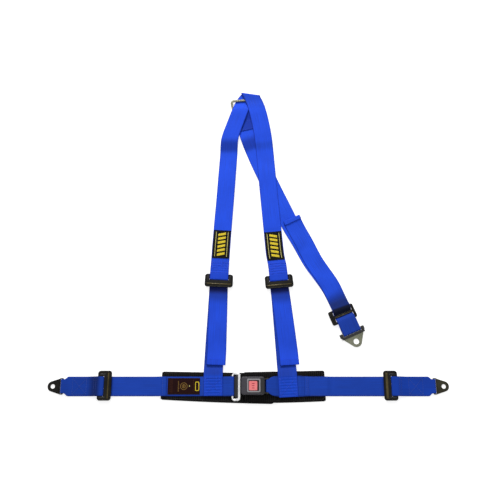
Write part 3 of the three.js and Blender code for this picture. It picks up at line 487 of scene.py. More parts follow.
def inset(loop, distance, hole):
    """The loop moved into the material by a distance."""
    moved = []
    sign = -1 if hole else 1
    count = len(loop)
    for i, (x, y) in enumerate(loop):
        before, after = Vector(loop[i - 1]), Vector(loop[(i + 1) % count])
        first = (Vector((x, y)) - before).normalized()
        second = (after - Vector((x, y))).normalized()
        mean = (first + second).normalized()
        reach = distance / max(mean.dot(first), 0.5)
        moved.append((x - sign * mean.y * reach, y + sign * mean.x * reach))
    return moved


def skin(count, rings, closed=False, caps=True):
    """Faces between rings of count points each, and over the two ends."""
    faces = []
    for i in range(rings if closed else rings - 1):
        here, there = i * count, (i + 1) % rings * count
        for k in range(count):
            following = (k + 1) % count
            faces.append([here + k, here + following, there + following, there + k])
    if caps and not closed:
        faces += [list(range(count))[::-1], list(range((rings - 1) * count, rings * count))]
    return faces


def slab(loops, z0, z1, bevel=0.6, steps=3, low_bevel=None):
    """A plate with rounded edges: the first loop is its outline, the others holes.
    All loops run anticlockwise."""
    low = bevel if low_bevel is None else low_bevel
    turns = [math.radians(90 * i / steps) for i in range(steps + 1)]
    profile = [(z0 + low * (1 - math.cos(a)), low * (1 - math.sin(a))) for a in turns]
    profile += [(z1 - bevel * (1 - math.cos(a)), bevel * (1 - math.sin(a)))
                for a in reversed(turns)]
    last = len(profile) - 1
    form, starts, caps = Form(), [], {0: [], last: []}
    for number, loop in enumerate(loops):
        starts.append(len(form.points))
        rings = [inset(loop, depth, number > 0) for _, depth in profile]
        points = [(x, y, z) for (z, _), ring in zip(profile, rings) for x, y in ring]
        for level in caps:
            caps[level].append([Vector((x, y, 0)) for x, y in rings[level]])
        walls = skin(len(loop), len(profile), caps=False)
        form.join(Form(points, [wall[::-1] for wall in walls] if number else walls))
    for level, rings in caps.items():
        index = [start + level * len(ring) + i
                 for start, ring in zip(starts, rings) for i in range(len(ring))]
        flat = [p for ring in rings for p in ring]
        for triangle in tessellate_polygon(rings):
            a, b, c = (flat[i] for i in triangle)
            up = (b - a).cross(c - a).z > 0
            face = [index[i] for i in triangle]
            form.faces.append(face if up == (level > 0) else face[::-1])
            form.slots.append(0)
    return form


def tube(path, radius, sides=14, closed=False, up=(0, 0, 1), squash=1.0):
    """A round bar along points. radius may be a number or one per point."""
    path = [Vector(p) for p in path]
    count = len(path)
    radii = radius if isinstance(radius, (list, tuple)) else [radius] * count
    points = []
    for i, p in enumerate(path):
        before = path[i - 1] if i or closed else p
        after = path[(i + 1) % count] if i < count - 1 or closed else p
        along = (after - before).normalized()
        side = along.cross(Vector(up)).normalized()
        lift = side.cross(along).normalized()
        for k in range(sides):
            angle = 2 * math.pi * k / sides
            points.append(p + side * math.cos(angle) * radii[i]
                          + lift * math.sin(angle) * radii[i] * squash)
    return Form(points, skin(sides, count, closed))


def bar(start, end, radius, sides=16, round_by=0.5, squash=1.0):
    """A straight round bar with rounded ends."""
    start, end = Vector(start), Vector(end)
    along = (end - start).normalized()
    path = [start, start + along * round_by * 0.3, start + along * round_by,
            end - along * round_by, end - along * round_by * 0.3, end]
    radii = [radius - round_by, radius - round_by * 0.3, radius,
             radius, radius - round_by * 0.3, radius - round_by]
    up = (0, 0, 1) if abs(along.z) < 0.9 else (0, 1, 0)
    return tube(path, radii, sides, False, up, squash)


# ---- webbing -------------------------------------------------------------------------
WEB_WIDTH, WEB_THICK, GAP, LAYER, FLOOR_LAYER = 50.0, 1.4, 0.35, 1.8, 1.0
PAD_LAYER, STACK_PAD_Z = 5.05, 4.3
ON_PAD = PAD_LAYER + LAYER
FRAME_Z, FRAME_THICK, FIXED_BAR, BAR_INSET = 7.2, 3.0, 12.5, 0.6
SLIDER_Z, SLIDER_AT, LOOP_RADIUS = 3.6, 19.65, 2.55
SLOT_END, LOOP_AT = 16.4, 12.95   # clamping bar's edge, and centre of the fixed bar's loop
LAP_ADJUSTER = {-1: 389.0, 1: 385.5}
PLATE_BAR_X, PLATE_BAR_Z, PLATE_LOOP = 480.0, 4.7, 3.6
LEFT_ADJUSTER = (-78.8, 298.7, -0.045)
RIGHT_ADJUSTER = (81.6, 296.0, 0.09)
SEWN = 38.0
RING_CENTRE, RING_SIZE, RING_ROD, RING_Z = Vector((-15, 814)), (70, 35), 5.0, 6.0
RING_TURN = math.radians(4.5)
FOLD, FOLD_TURN, FOLD_WIDTH = (6, 848), math.radians(-8.7), 55.0
PIN_X, PIN_Z = 49.3, 15.0
TONGUE_BAR_X, TONGUE_BAR_Z = 40.5, 10.0
ON_FLOOR, TAIL_ON_PAD, SINGLE_Z = FLOOR_LAYER + LAYER, ON_PAD + 0.05, FLOOR_LAYER + 0.6
BAR_Z = FRAME_Z + FRAME_THICK / 2
UNDER_BAR, OVER_BAR = BAR_Z - LOOP_RADIUS, BAR_Z + LOOP_RADIUS
SURFACE, HEM_RISE = WEB_THICK / 2 + 0.12, 1.7   # thread above a strap's middle, and a hem's
FINE = {"pitch": 3.2, "length": 2.4, "radius": 0.3}


class Line:
    """The line on the floor that a strap follows, through points joined smoothly."""

    def __init__(self, points, across_angle=None, samples=60):
        pts = [np.array(p, float) for p in points]
        pts = [2 * pts[0] - pts[1]] + pts + [2 * pts[-1] - pts[-2]]
        found = []
        for a, b, c, d in zip(pts, pts[1:], pts[2:], pts[3:]):
            t1, t2, t3 = (math.dist(p, q) ** 0.5 for p, q in ((a, b), (b, c), (c, d)))
            first = t2 * ((b - a) / t1 - (c - a) / (t1 + t2) + (c - b) / t2)
            last = t2 * ((c - b) / t2 - (d - b) / (t2 + t3) + (d - c) / t3)
            for i in range(samples):
                t = i / samples
                found.append((2 * t**3 - 3 * t**2 + 1) * b + (t**3 - 2 * t**2 + t) * first
                             + (3 * t**2 - 2 * t**3) * c + (t**3 - t**2) * last)
        found.append(pts[-2])
        self.path = np.array(found)
        steps = np.linalg.norm(np.diff(self.path, axis=0), axis=1)
        self.along = np.concatenate([[0], np.cumsum(steps)])
        self.length = self.along[-1]
        self.across_angle = across_angle

    def spot(self, u):
        inside = min(max(u, 0), self.length)
        point, low, high = (Vector([np.interp(w, self.along, self.path[:, k]) for k in (0, 1)])
            for w in (inside, max(inside - 0.4, 0), min(inside + 0.4, self.length)))
        tangent = (high - low).normalized()
        point += tangent * (u - inside)
        if not self.across_angle:
            return point, Vector((tangent.y, -tangent.x))
        angle = self.across_angle(inside / self.length)
        return point, Vector((math.cos(angle), math.sin(angle)))

    def at(self, u, v=0.0, z=0.0):
        """The layout point at u along the line, v across it and z above the floor."""
        point, across = self.spot(u)
        return Vector((*(point + across * v), z))

    def where(self, y):
        """How far along the line it passes a given Y."""
        ys = self.path[:, 1]
        order = np.argsort(ys)
        return float(np.interp(y, ys[order], self.along[order]))


class Side:
    """A strap seen from its edge: u along the line, z up, a sideways shift, and the height
    of the ripples that its stitching pulls up."""

    def __init__(self):
        self.points = []

    def to(self, u, z, shift=0.0, ripple=0.0):
        self.points.append(np.array((u, z, shift, ripple), float))
        return self

    def turn(self, u, z, radius, start, end, steps=14):
        for point in arc(u, z, radius, start, end, steps):
            self.to(*point)
        return self

    def hem(self, direction, length=12.0):
        """The end folded back over itself. direction is the way the strap was going."""
        u, z, shift, _ = self.points[-1]
        radius = 0.82
        for i in range(1, 9):
            angle = math.pi * i / 8
            self.to(u + direction * radius * math.sin(angle),
                    z + radius * (1 - math.cos(angle)), shift)
        return self.to(u - direction * length, z + 2 * radius, shift)

    def offset(self, distance):
        moved = Side()
        pts = self.points
        for i, p in enumerate(pts):
            first = Vector((p - pts[max(i - 1, 0)])[:2]).normalized()
            second = Vector((pts[min(i + 1, len(pts) - 1)] - p)[:2]).normalized()
            mean = (first + second).normalized()
            edge = first if first.length > 0 else second
            reach = distance / max(mean.dot(edge), 0.5)
            moved.to(p[0] - mean.y * reach, p[1] + mean.x * reach, p[2])
        return moved

    def softened(self, reach):
        """Each corner is rounded, up to a distance on both sides of it."""
        out = [self.points[0]]
        for a, b, c in zip(self.points, self.points[1:], self.points[2:]):
            before, after = np.linalg.norm(b - a), np.linalg.norm(c - b)
            if before < 1e-6 or after < 1e-6:
                continue
            r = min(reach, 0.46 * before, 0.46 * after)
            if r < SHARPEST:
                out.append(b)
                continue
            start, end = b + (a - b) * r / before, b + (c - b) * r / after
            for t in (0, 0.25, 0.5, 0.75, 1):
                out.append(start * (1 - t) ** 2 + b * 2 * t * (1 - t) + end * t**2)
        return out + [self.points[-1]]

    def stations(self, line, width=lambda u: WEB_WIDTH, step=6.0, reach=7.0):
        """Points, directions across, widths and ripples along the whole strap."""
        laid = []
        points = self.softened(reach)
        for before, p in zip(points[:1] + points, points):
            fine = RIPPLE_STEP if max(p[3], before[3]) > 0 else step
            pieces = max(1, math.ceil(abs(p[0] - before[0]) / fine))
            for k in range(1 if laid else pieces, pieces + 1):
                u, z, shift, ripple = before + (p - before) * k / pieces
                point, across = line.spot(u)
                point += across * shift
                laid.append((Vector((*point, z)), across.to_3d(), width(u), ripple))
        return laid


def narrowing(full_at, narrow_at, narrow_width):
    """Webbing width that changes from full at one place to another width at the other."""
    def width(u):
        t = smoothstep((u - full_at) / (narrow_at - full_at))
        return WEB_WIDTH + (narrow_width - WEB_WIDTH) * t
    return width


RIPPLE_PITCH, RIPPLE_STEP, SHARPEST = 7.4, 1.2, 1.2


def strap_form(laid, thick=WEB_THICK, columns=10):
    """A woven strip with rounded selvedges, with its own length and width as UVs."""
    edge = [(0.0, 0.0), (0.2, 0.62), (0.75, 1.0)]
    upper = ([(-0.5, inch, lift) for inch, lift in edge]
             + [(-0.5 + k / columns, 0.0, 1) for k in range(1, columns)]
             + [(0.5, -inch, lift) for inch, lift in reversed(edge)])
    section = upper + [(share, inch, -lift) for share, inch, lift in upper[::-1][1:-1]]
    points, strap = [], []
    travelled = 0.0
    for i, (point, across, width, ripple) in enumerate(laid):
        before = laid[i - 1][0] if i else point
        after = laid[i + 1][0] if i < len(laid) - 1 else point
        travelled += (point - before).length
        first = (point - before).normalized() if i else (after - point).normalized()
        second = (after - point).normalized() if i < len(laid) - 1 else first
        along = (first + second).normalized()
        normal = across.cross(along).normalized()
        rise = normal * thick / 2 / max(along.dot(first), 0.7)
        pucker = ripple * math.sin(2 * math.pi * travelled / RIPPLE_PITCH)
        for share, inch, lift in section:
            v = share * width + inch
            edge_share = (2 * v / width) ** 2
            points.append(point + across * v + rise * lift
                          + Vector((0, 0, pucker * (1 - edge_share**4))))
            strap.append((travelled * MM, v * MM))
    faces = [face[:1] + face[:0:-1] for face in skin(len(section), len(laid))]
    return Form(points, faces, strap)


def stitches(corners, pitch=4.4, length=3.3, radius=0.42):
    """A row of thread stitches along a path of points."""
    form = Form()
    corners = [Vector(p) for p in corners]
    rings = [(-0.5, 0.25, -0.25), (-0.36, 0.85, 0.05), (0, 1.0, 0.16), (0.36, 0.85, 0.05),
             (0.5, 0.25, -0.25)]
    turns = [math.pi * j / 3 for j in range(6)]
    for a, b in zip(corners, corners[1:]):
        run = (b - a).length
        count = max(1, round(run / pitch))
        along = (b - a).normalized()
        side = along.cross(Vector((0, 0, 1))).normalized()
        for k in range(count):
            middle = a + along * (k + 0.5) * run / count
            points = [middle + along * share * length + side * math.cos(angle) * size * radius
                      + Vector((0, 0, lift + math.sin(angle) * size * radius))
                      for share, size, lift in rings for angle in turns]
            form.join(Form(points, skin(len(turns), len(rings))), 1)
    return form


def box_stitch(form, line, u0, u1, half, z):
    """The usual sewn box, crossed from corner to corner."""
    for ends in ((u0, u1, -half, -half), (u0, u1, half, half), (u0, u0, -half, half),
                 (u1, u1, -half, half), (u0, u1, -half, half), (u0, u1, half, -half)):
        form.sew(line, *ends, z, 3)


def thread_adjuster(side, edge):
    back = FLOOR_LAYER + LAYER + 0.05
    return (side.to(edge - 38, FLOOR_LAYER).turn(edge - SLIDER_AT, SLIDER_Z, LOOP_RADIUS, -90, 90)
            .to(edge - 27.5, SLIDER_Z + LOOP_RADIUS).to(edge - 34.5, back).to(edge - 38, back))


def off_pad(side, pad_edge, edge, hem_at, hem_length):
    """Down from the pad's end, through the adjuster, and back on to the pad as a tail."""
    side.to(pad_edge + 1, PAD_LAYER).to(pad_edge + 12, FLOOR_LAYER)
    return (thread_adjuster(side, edge).to(pad_edge + 14, FLOOR_LAYER + LAYER + 0.05)
            .to(pad_edge + 3, TAIL_ON_PAD).to(hem_at, TAIL_ON_PAD).hem(-1, hem_length))


def left_lap():
    line = Line([(0, 0), (-400, 0)])
    bar_at, radius = TONGUE_BAR_X, RING_ROD / 2 + GAP + WEB_THICK / 2
    side = (Side().to(116, PAD_LAYER).to(bar_at + 16, PAD_LAYER)
            .turn(bar_at, TONGUE_BAR_Z, radius, 270, 90)
            .to(bar_at + 20, ON_PAD).to(118, ON_PAD).to(124, PAD_LAYER))
    form = strap_form(off_pad(side, 226, LAP_ADJUSTER[-1], 213, 10).stations(line))
    top = ON_PAD + SURFACE
    for v in (-22.6, 22.6):
        form.sew(line, 50, 65, v, v, top, 2)
        form.sew(line, 236, 350, v, v, ON_FLOOR + SURFACE, 4)
    form.sew(line, 117, 117, -22.6, 22.6, top, 3)
    form.sew(line, 221, 221, -23, 23, top + HEM_RISE, 3)
    form.piece("left_lap_webbing", [LAP_BLUE, LAP_THREAD], "left_lap",
               ["left_lap_strap"], "lap_webbing")


def right_lap():
    line = Line([(0, 0), (400, 0)])
    on_stack = STACK_PAD_Z + PAD_LAYER
    side = (Side().to(134, PAD_LAYER).to(77.4, PAD_LAYER).to(70, on_stack)
            .turn(PIN_X, PIN_Z, 2.5 + GAP + WEB_THICK / 2, 270, 90)
            .to(71, on_stack + LAYER).to(78.2, ON_PAD).to(136, ON_PAD).to(142, PAD_LAYER))
    off_pad(side, 200, LAP_ADJUSTER[1], 147, 9)

    def width(u):
        share = min(max((u - 50) / 20, 0), 1)
        stacked = smoothstep(u, 66, 82) * (1 - smoothstep(u, 128, 160))
        return 32 + 18 * math.sin(math.pi / 2 * share) + 3.4 * stacked

    form = strap_form(side.stations(line, width, 2.5, 3.5))
    for u in (151, 154.5):
        form.sew(line, u, u, -23, 23, ON_PAD + HEM_RISE + SURFACE, 3)
    for v in (-22.8, 22.8):
        form.sew(line, 160, 198, v, v, TAIL_ON_PAD + SURFACE, 3)
        form.sew(line, 214, 346, v, v, ON_FLOOR + SURFACE, 4)
    form.piece("right_lap_webbing", [LAP_BLUE, LAP_THREAD], "harness",
               ["right_lap_strap"], "lap_webbing")


def end_strap(side_of, label):
    line = Line([(0, 0), (side_of * 500, 0)])
    edge = LAP_ADJUSTER[side_of]
    under = FLOOR_LAYER + 0.1
    high = under + LAYER + 0.1
    side = (Side().to(edge + 45, under).to(edge + 20, under).to(edge - 1, UNDER_BAR)
            .turn(edge - LOOP_AT, BAR_Z, LOOP_RADIUS, 270, 90)
            .to(edge - 1, OVER_BAR).to(edge + 27, high).to(PLATE_BAR_X - 16, high)
            .turn(PLATE_BAR_X + 0.9, PLATE_BAR_Z, PLATE_LOOP, 90, -90).to(edge + 46, under))
    width = narrowing(PLATE_BAR_X - 14, PLATE_BAR_X - 4, 35.6)
    form = strap_form(side.stations(line, width, 3.0, 5.0))
    for along, drop in ((4.5, 0.75), (9.5, 1.95)):
        form.sew(line, edge + along, edge + along, -22.5, 22.5, OVER_BAR - drop + SURFACE, 3)
    box_stitch(form, line, edge + 30, edge + 66, 20, high + SURFACE)
    blue = LEFT_END if side_of < 0 else RIGHT_END
    made = form.piece(f"{label}_end_webbing", [blue, END_THREAD], None,
                      [f"{label}_end_strap"], "lap_webbing")
    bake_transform(made)


def above(adjuster, distance):
    x, y, turn = adjuster
    return (x - distance * math.sin(turn), y + distance * math.cos(turn))


def eased(start_angle, end_angle, low, high):
    return lambda share: (start_angle + (end_angle - start_angle) * smoothstep(share, low, high))


TO_RING = eased(LEFT_ADJUSTER[2], RING_TURN, 0.5, 0.9)
TO_FOLD = eased(0, FOLD_TURN - RING_TURN, 0.95, 1)
LEFT_SHOULDER = Line([above(LEFT_ADJUSTER, d) for d in (-30, -14, 0, 40)]
    + [(-73.4, 400), (-65.5, 516), (-57, 650), (-53.5, 705), (-38, 756), (-21.5, 803),
       (-12.5, 829), FOLD], lambda share: TO_RING(share) + TO_FOLD(share))
RIGHT_SHOULDER = Line(
    [FOLD, (15.5, 829), (24.6, 800), (33.9, 761), (43.6, 703), (54.7, 571), (67.2, 427),
     (73.6, 357)] + [above(RIGHT_ADJUSTER, d) for d in (30, 0, -14, -30)],
    eased(FOLD_TURN, RIGHT_ADJUSTER[2], 0, 0.09))
LEFT_LOWER = Line([(-90, -24), (-90.8, 30), (-90.2, 60), (-85, 165)]
                  + [above(LEFT_ADJUSTER, d) for d in (-60, -38, 0, 9)])
RIGHT_LOWER = Line([(104.2, -24), (101.8, 25), (99.6, 60), (92.2, 165)]
                   + [above(RIGHT_ADJUSTER, d) for d in (-60, -38, 0, 9)])


def sewn_loop(at, top, way):
    """A shoulder belt's sewn end round its adjuster's bar at Y = top, from the end on.
    way is 1 where the line runs up from the adjuster and -1 where it runs down to it."""
    return (Side().to(at(top + SEWN - 1), FLOOR_LAYER).to(at(top + SEWN - 10), FLOOR_LAYER)
            .to(at(top + 1), UNDER_BAR)
            .turn(at(top - LOOP_AT), BAR_Z, LOOP_RADIUS, 90 + 180 * way, 90)
            .to(at(top + 1), OVER_BAR).to(at(top + 5), OVER_BAR - 0.8, 0, 0.5)
            .to(at(top + SEWN - 2), ON_FLOOR + 0.5, 0, 0.5)
            .to(at(top + SEWN), ON_FLOOR).to(at(top + SEWN + 5.5), SINGLE_Z))


def shoulder():
    reach = RING_ROD / 2 + GAP + WEB_THICK / 2
    over_ring = RING_Z + reach
    over_loop = over_ring + LAYER
    left, right = LEFT_SHOULDER.where, RIGHT_SHOULDER.where
    rising = sewn_loop(left, LEFT_ADJUSTER[1], 1)
    for y, z in ((650, FLOOR_LAYER + 0.2), (668, 2.2), (700, 8.6), (722, 9.4), (768, 10.2),
                 (789, over_loop + 0.2), (802, over_loop), (822, RING_Z - reach)):
        rising.to(left(y), z)
    rising.turn(left(FOLD[1]), RING_Z, reach, -90, 0, 7)
    falling = Side().turn(0, RING_Z, reach, 180 - 12, 90, 6)
    for y, z in ((827, over_ring + 0.2), (812, over_loop + LAYER + 0.2),
                 (788, over_loop + LAYER), (755, 10.4), (722, 8.9), (700, 6.9),
                 (665, ON_FLOOR + 0.1), (434, ON_FLOOR + 0.1), (424, SINGLE_Z)):
        falling.to(right(y), z)
    falling.points += sewn_loop(right, RIGHT_ADJUSTER[1], -1).points[::-1]
    fold_at = LEFT_SHOULDER.length
    form = strap_form(rising.stations(LEFT_SHOULDER, narrowing(fold_at - 28, fold_at, FOLD_WIDTH))
        + falling.stations(RIGHT_SHOULDER, narrowing(40, 0, FOLD_WIDTH)))
    total = form.strap[-1][0]
    near_bar, full_blue = srgb(26, 67, 198), srgb(32, 77, 220)
    # The darker bands in the middle of the strap are painted shade on the slopes either side of the
    # ring.
    blue = webbing_material("webbing_shoulder", near_bar, SELVEDGE_SHADE_BLUE, (
        (0.1, 0.16, full_blue), (0.43, 0.449, SLOPE_PAINTED_SHADE), (0.462, 0.486, full_blue),
        (0.645, 0.66, srgb(27, 68, 194)), (0.68, 0.71, full_blue),
        (0.806, 0.82, srgb(28, 70, 198)), (0.826, 0.842, full_blue),
        (total - 0.16, total - 0.1, near_bar)))

    def level(d):
        return OVER_BAR - (OVER_BAR - ON_FLOOR) / (SEWN - 1) * (d - 1) + 0.45 + SURFACE

    for line, top in ((LEFT_SHOULDER, LEFT_ADJUSTER[1]), (RIGHT_SHOULDER, RIGHT_ADJUSTER[1])):
        for d in (4, 13):
            u = line.where(top + d)
            form.sew(line, u, u, -22.5, 22.5, level(d), 3)
        near, far = line.where(top + 16), line.where(top + SEWN - 3)
        low, high = level(16), level(SEWN - 3)
        for v0, v1 in ((-21, -21), (21, 21), (-21, 21), (21, -21)):
            form.join(stitches([line.at(near, v0, low), line.at(far, v1, high)]))
        form.sew(line, far, far, -21, 21, high, 3)
    form.piece("shoulder_webbing", [blue, THREAD], "harness", ["shoulder_strap"], "webbing",
               draped=True)


def lower(label, line, adjuster, patch_z, hem_y, shift, overhang=0.0):
    """Sewn to the lap belt, up to the adjuster and back as a tail whose end stands up."""
    at = line.where
    side = (Side().to(-overhang, patch_z, 0, 0.45).to(at(23), patch_z, 0, 0.45)
            .to(at(27), patch_z).to(at(40), PAD_LAYER + LAYER).to(at(56), FLOOR_LAYER))
    tail_z, hem_z = ON_FLOOR + 0.1, FLOOR_LAYER + 2.5 * LAYER + 1.6
    (thread_adjuster(side, at(adjuster[1])).to(at(hem_y + 34), tail_z, shift)
     .to(at(hem_y + 14), tail_z + 1.2, shift).to(at(hem_y), hem_z, shift).hem(-1, 12))
    form = strap_form(side.stations(line))
    box_stitch(form, line, 4 - overhang, at(21), 21, patch_z + 0.35 + SURFACE)
    stitch_z = tail_z + 1.2 + (hem_z - tail_z - 1.2) * 5 / 14 + 1.64 + SURFACE
    form.join(stitches([line.at(at(hem_y + 9), v + shift, stitch_z) for v in (-22.5, 0, 22.5)]))
    crosses = label == "left"
    made = form.piece(f"{label}_lower_webbing", [LOWER_BLUE, THREAD],
                      None if crosses else "harness", [f"{label}_lower_strap"], "webbing",
                      draped=True)
    if crosses:
        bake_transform(made)


RING_DOWN = Vector((math.sin(RING_TURN), -math.cos(RING_TURN)))
RING_BAR = RING_CENTRE + RING_DOWN * (RING_SIZE[1] / 2 - RING_ROD / 2)
REAR_START = 30.0
TRIGLIDE = {"along": REAR_START + 671, "width": 71.0, "length": 39.0, "bar": 6.5,
            "slot": 52.0, "shift": -2.6, "thick": 3.0, "z": 3.9}
REAR_BAR = TRIGLIDE["along"] + 51
REAR_LINE = Line([tuple(RING_BAR + RING_DOWN * d) for d in (-REAR_START, -8, 0, 12, 34)]
                 + [(1, 713), (22.1, 656), (46, 599), (83.5, 516), (119.5, 438), (148, 386),
                    (175, 335), (196.5, 303), (220, 268), (237.3, 233), (253, 191.7), (275, 141)])


def rear():
    t, radius = TRIGLIDE, RING_ROD / 2 + GAP + WEB_THICK / 2
    pair = WEB_THICK + GAP + 0.2
    over, under = t["z"] + t["thick"] + pair, t["z"] - pair
    near, far = t["bar"] / 2 + 0.6, t["length"] / 2
    middle = Side()
    for along, z in ((-far - 24, under), (-far - 1, over), (-far + t["bar"] + 0.5, over),
                     (-near, under), (near, under), (far - t["bar"] - 0.5, over), (far + 1, over)):
        middle.to(t["along"] + along, z)
    sewn_end = REAR_START + 66
    side = (Side().to(sewn_end, 5.8).to(REAR_START + 30, 4.1)
            .turn(REAR_START, RING_Z, radius, 90, 270).to(REAR_START + 18, FLOOR_LAYER + 0.2)
            .to(REAR_START + 36, 2.2).to(REAR_START + 70, 4.0).to(REAR_START + 100, 4.6)
            .to(REAR_START + 128, FLOOR_LAYER))
    side.points += middle.offset(-LAYER / 2).points
    (side.to(REAR_BAR - 12, FLOOR_LAYER + 0.1)
     .turn(REAR_BAR + 0.6, PLATE_BAR_Z, PLATE_LOOP, -90, 90))
    side.points += middle.offset(LAYER / 2).points[::-1]
    end, tail_z = REAR_LINE.where(455), ON_FLOOR + 0.1
    (side.to(end + 34, tail_z, -8.6).to(end + 12, tail_z + 0.8, -9.4)
     .to(end, tail_z + 2.2, -10).hem(-1, 10))
    form = strap_form(side.stations(REAR_LINE, reach=3.0))
    for u in (sewn_end - 3, sewn_end - 30):
        level = 4.1 + 1.7 * (u - REAR_START - 30) / 36
        form.sew(REAR_LINE, u, u, -20, 20, level + SURFACE, 3)
    form.sew(REAR_LINE, end + 7, end + 7, -32, 12, tail_z + 1.4 + 1.64 + SURFACE, 3)
    form.piece("rear_webbing", [REAR_BLUE, THREAD], "harness", ["rear_strap"], "webbing",
               draped=True)


left_lap()
right_lap()
end_strap(-1, "left")
end_strap(1, "right")
shoulder()
lower("left", LEFT_LOWER, LEFT_ADJUSTER, 8.9, 56, 6)
lower("right", RIGHT_LOWER, RIGHT_ADJUSTER, 9.4, 55, 8, 3.5)
rear()


# ---- pads --------------------------------------------------------------------------
PAD_WIDTH, PAD_HEM, RIB = 78.0, 5.4, 5.4


def pad(name, node, body, start, end, y, turn, step=None, bow=0.0, taper=1.0):
    """A thin ribbed pad with a bound edge: crowned, with its ribs across the belt.
    step is the (start, end) over which it comes down from lying on the other pad, and
    taper its width at its start, as a share of its full width."""
    length, centre, half = end - start, (start + end) / 2, PAD_WIDTH / 2
    columns, rows = round(length / 0.9), 44

    def lying(x):
        return STACK_PAD_Z * (1 - smoothstep(x, *step)) if step else 0

    points, strap = [], []
    for face in (1, -1):
        for i in range(columns + 1):
            s = i / columns
            x = start + s * length
            edge_x = min(x - start, end - x)
            for j in range(rows + 1):
                across = (j / rows - 0.5) * 2
                edge_y = half * (1 - abs(across))
                corner = max(0.0, 6 - edge_x) ** 2 / 14 * abs(across) ** 6
                out = half * across - math.copysign(corner, across)
                out *= taper + (1 - taper) * s
                if across < 0:
                    out -= bow * math.sin(math.pi * s) ** 0.8 * abs(across)
                nearest = min(edge_x, edge_y)
                rise = smoothstep(nearest, -0.5, 3.4)
                bound = math.exp(-((nearest - PAD_HEM) / 0.9) ** 2)
                ribs = abs(math.sin(math.pi * x / RIB)) ** 0.7 * smoothstep(nearest, 5.8, 7.4)
                z = 2.0 + face * (1.9 * (0.34 + 0.66 * rise) - 0.45 * bound) + lying(x)
                if face > 0:
                    z += 0.34 * ribs - 0.24 + 0.1 * smoothstep(nearest, 8, 30)
                else:
                    z -= 0.1 * ribs - 0.1
                points.append((x - centre, out, z))
                strap.append((x * MM, out * MM))
    pitch, size = rows + 1, (columns + 1) * (rows + 1)
    faces = []
    for i in range(columns):
        for j in range(rows):
            a = i * pitch + j
            quad = [a, a + pitch, a + pitch + 1, a + 1]
            faces += [quad, [size + k for k in quad[::-1]]]
    rim = ([*range(0, size, pitch)] + [*range(size - rows, size)]
           + [*range(size - 1 - pitch, 0, -pitch)] + [*range(rows - 1, 0, -1)])
    faces += [[b, a, size + a, size + b] for a, b in zip(rim, rim[1:] + rim[:1])]
    form = Form(points, faces, strap)
    inner_x, inner_y, seam_z = length / 2 - PAD_HEM, half - PAD_HEM, 3.45
    places = np.linspace(-inner_x, inner_x, 40)
    for side in (-1, 1):
        seam = []
        for x in places:
            drop = side * inner_y * (1 - taper) * (0.5 - x / length)
            if side < 0:
                drop += bow * math.sin(math.pi * (x / length + 0.5)) ** 0.8 * 0.86
            seam.append((x, side * inner_y - drop, seam_z + lying(x + centre)))
        form.join(stitches(seam, 3.6, 2.7, 0.35))
    for x in (-inner_x, inner_x):
        z = seam_z + lying(x + centre)
        form.join(stitches([(x, -inner_y, z), (x, inner_y, z)], 3.6, 2.7, 0.35))
    form.turned(math.radians(turn), centre, y)
    form.piece(name, [PAD_CLOTH, PAD_THREAD], body, [node], "pad", 60)


pad("left_pad", "left_lap_pad", "left_lap", -225, 66, -1.6, -1.53, None, 1.5, 0.915)
pad("right_pad", "right_lap_pad", "harness", -12, 199, -0.8, 1.3, (68, 76), 1.5)


# ---- labels ----------------------------------------------------------------------
def patch(loops, line, u, z, thick=0.35, slot=1, bevel=0.12):
    """A flat embroidered patch: an outline in (along, across), with or without a hole."""
    form = slab(loops, 0, thick, bevel, 2)
    form.slots = [slot] * len(form.faces)
    return form.move(lambda p: line.at(u + p.x, p.y, z + p.z))


def shoulder_label(side_name, line, y0, y1):
    start, end = sorted((line.where(y0), line.where(y1)))
    z = FLOOR_LAYER + 0.6 + WEB_THICK / 2 + 0.7
    form = strap_form(Side().to(start, z).to(end, z).stations(line, lambda u: 47, 3.0), 0.8)
    top, middle, length = z + 0.36, (start + end) / 2, end - start
    pieces = 18
    for v in (-16.4, 16.4):
        for k in range(pieces):
            x0, x1 = ((length - 10) * (share / pieces - 0.5) for share in (k, k + 1))
            form.join(patch([rounded(x0, x1, v - 0.9, v + 0.9, 0.1, 3)], line, middle, top,
                            0.34, 2))
    long, short, reach = 5.9, 0.9, 10.4
    for k in range(6):
        x = (k - 2.5) * 11.4
        shape = [(x - long, -reach), (x + short, -reach), (x + long, reach), (x - short, reach)]
        form.join(patch([shape], line, middle, top))
    for u in (start + 1.5, end - 1.5):
        form.sew(line, u, u, -21, 21, z + 0.42, 3, 3, **FINE)
    for v in (-22.2, 22.2):
        form.sew(line, start + 2, end - 2, v, v, z + 0.42, 4, 3, **FINE)
    form.piece(f"{side_name}_label_cloth", [LABEL_CLOTH, YELLOW, PALE, PAD_THREAD],
               "harness", [f"{side_name}_shoulder_label"], "label", draped=True)


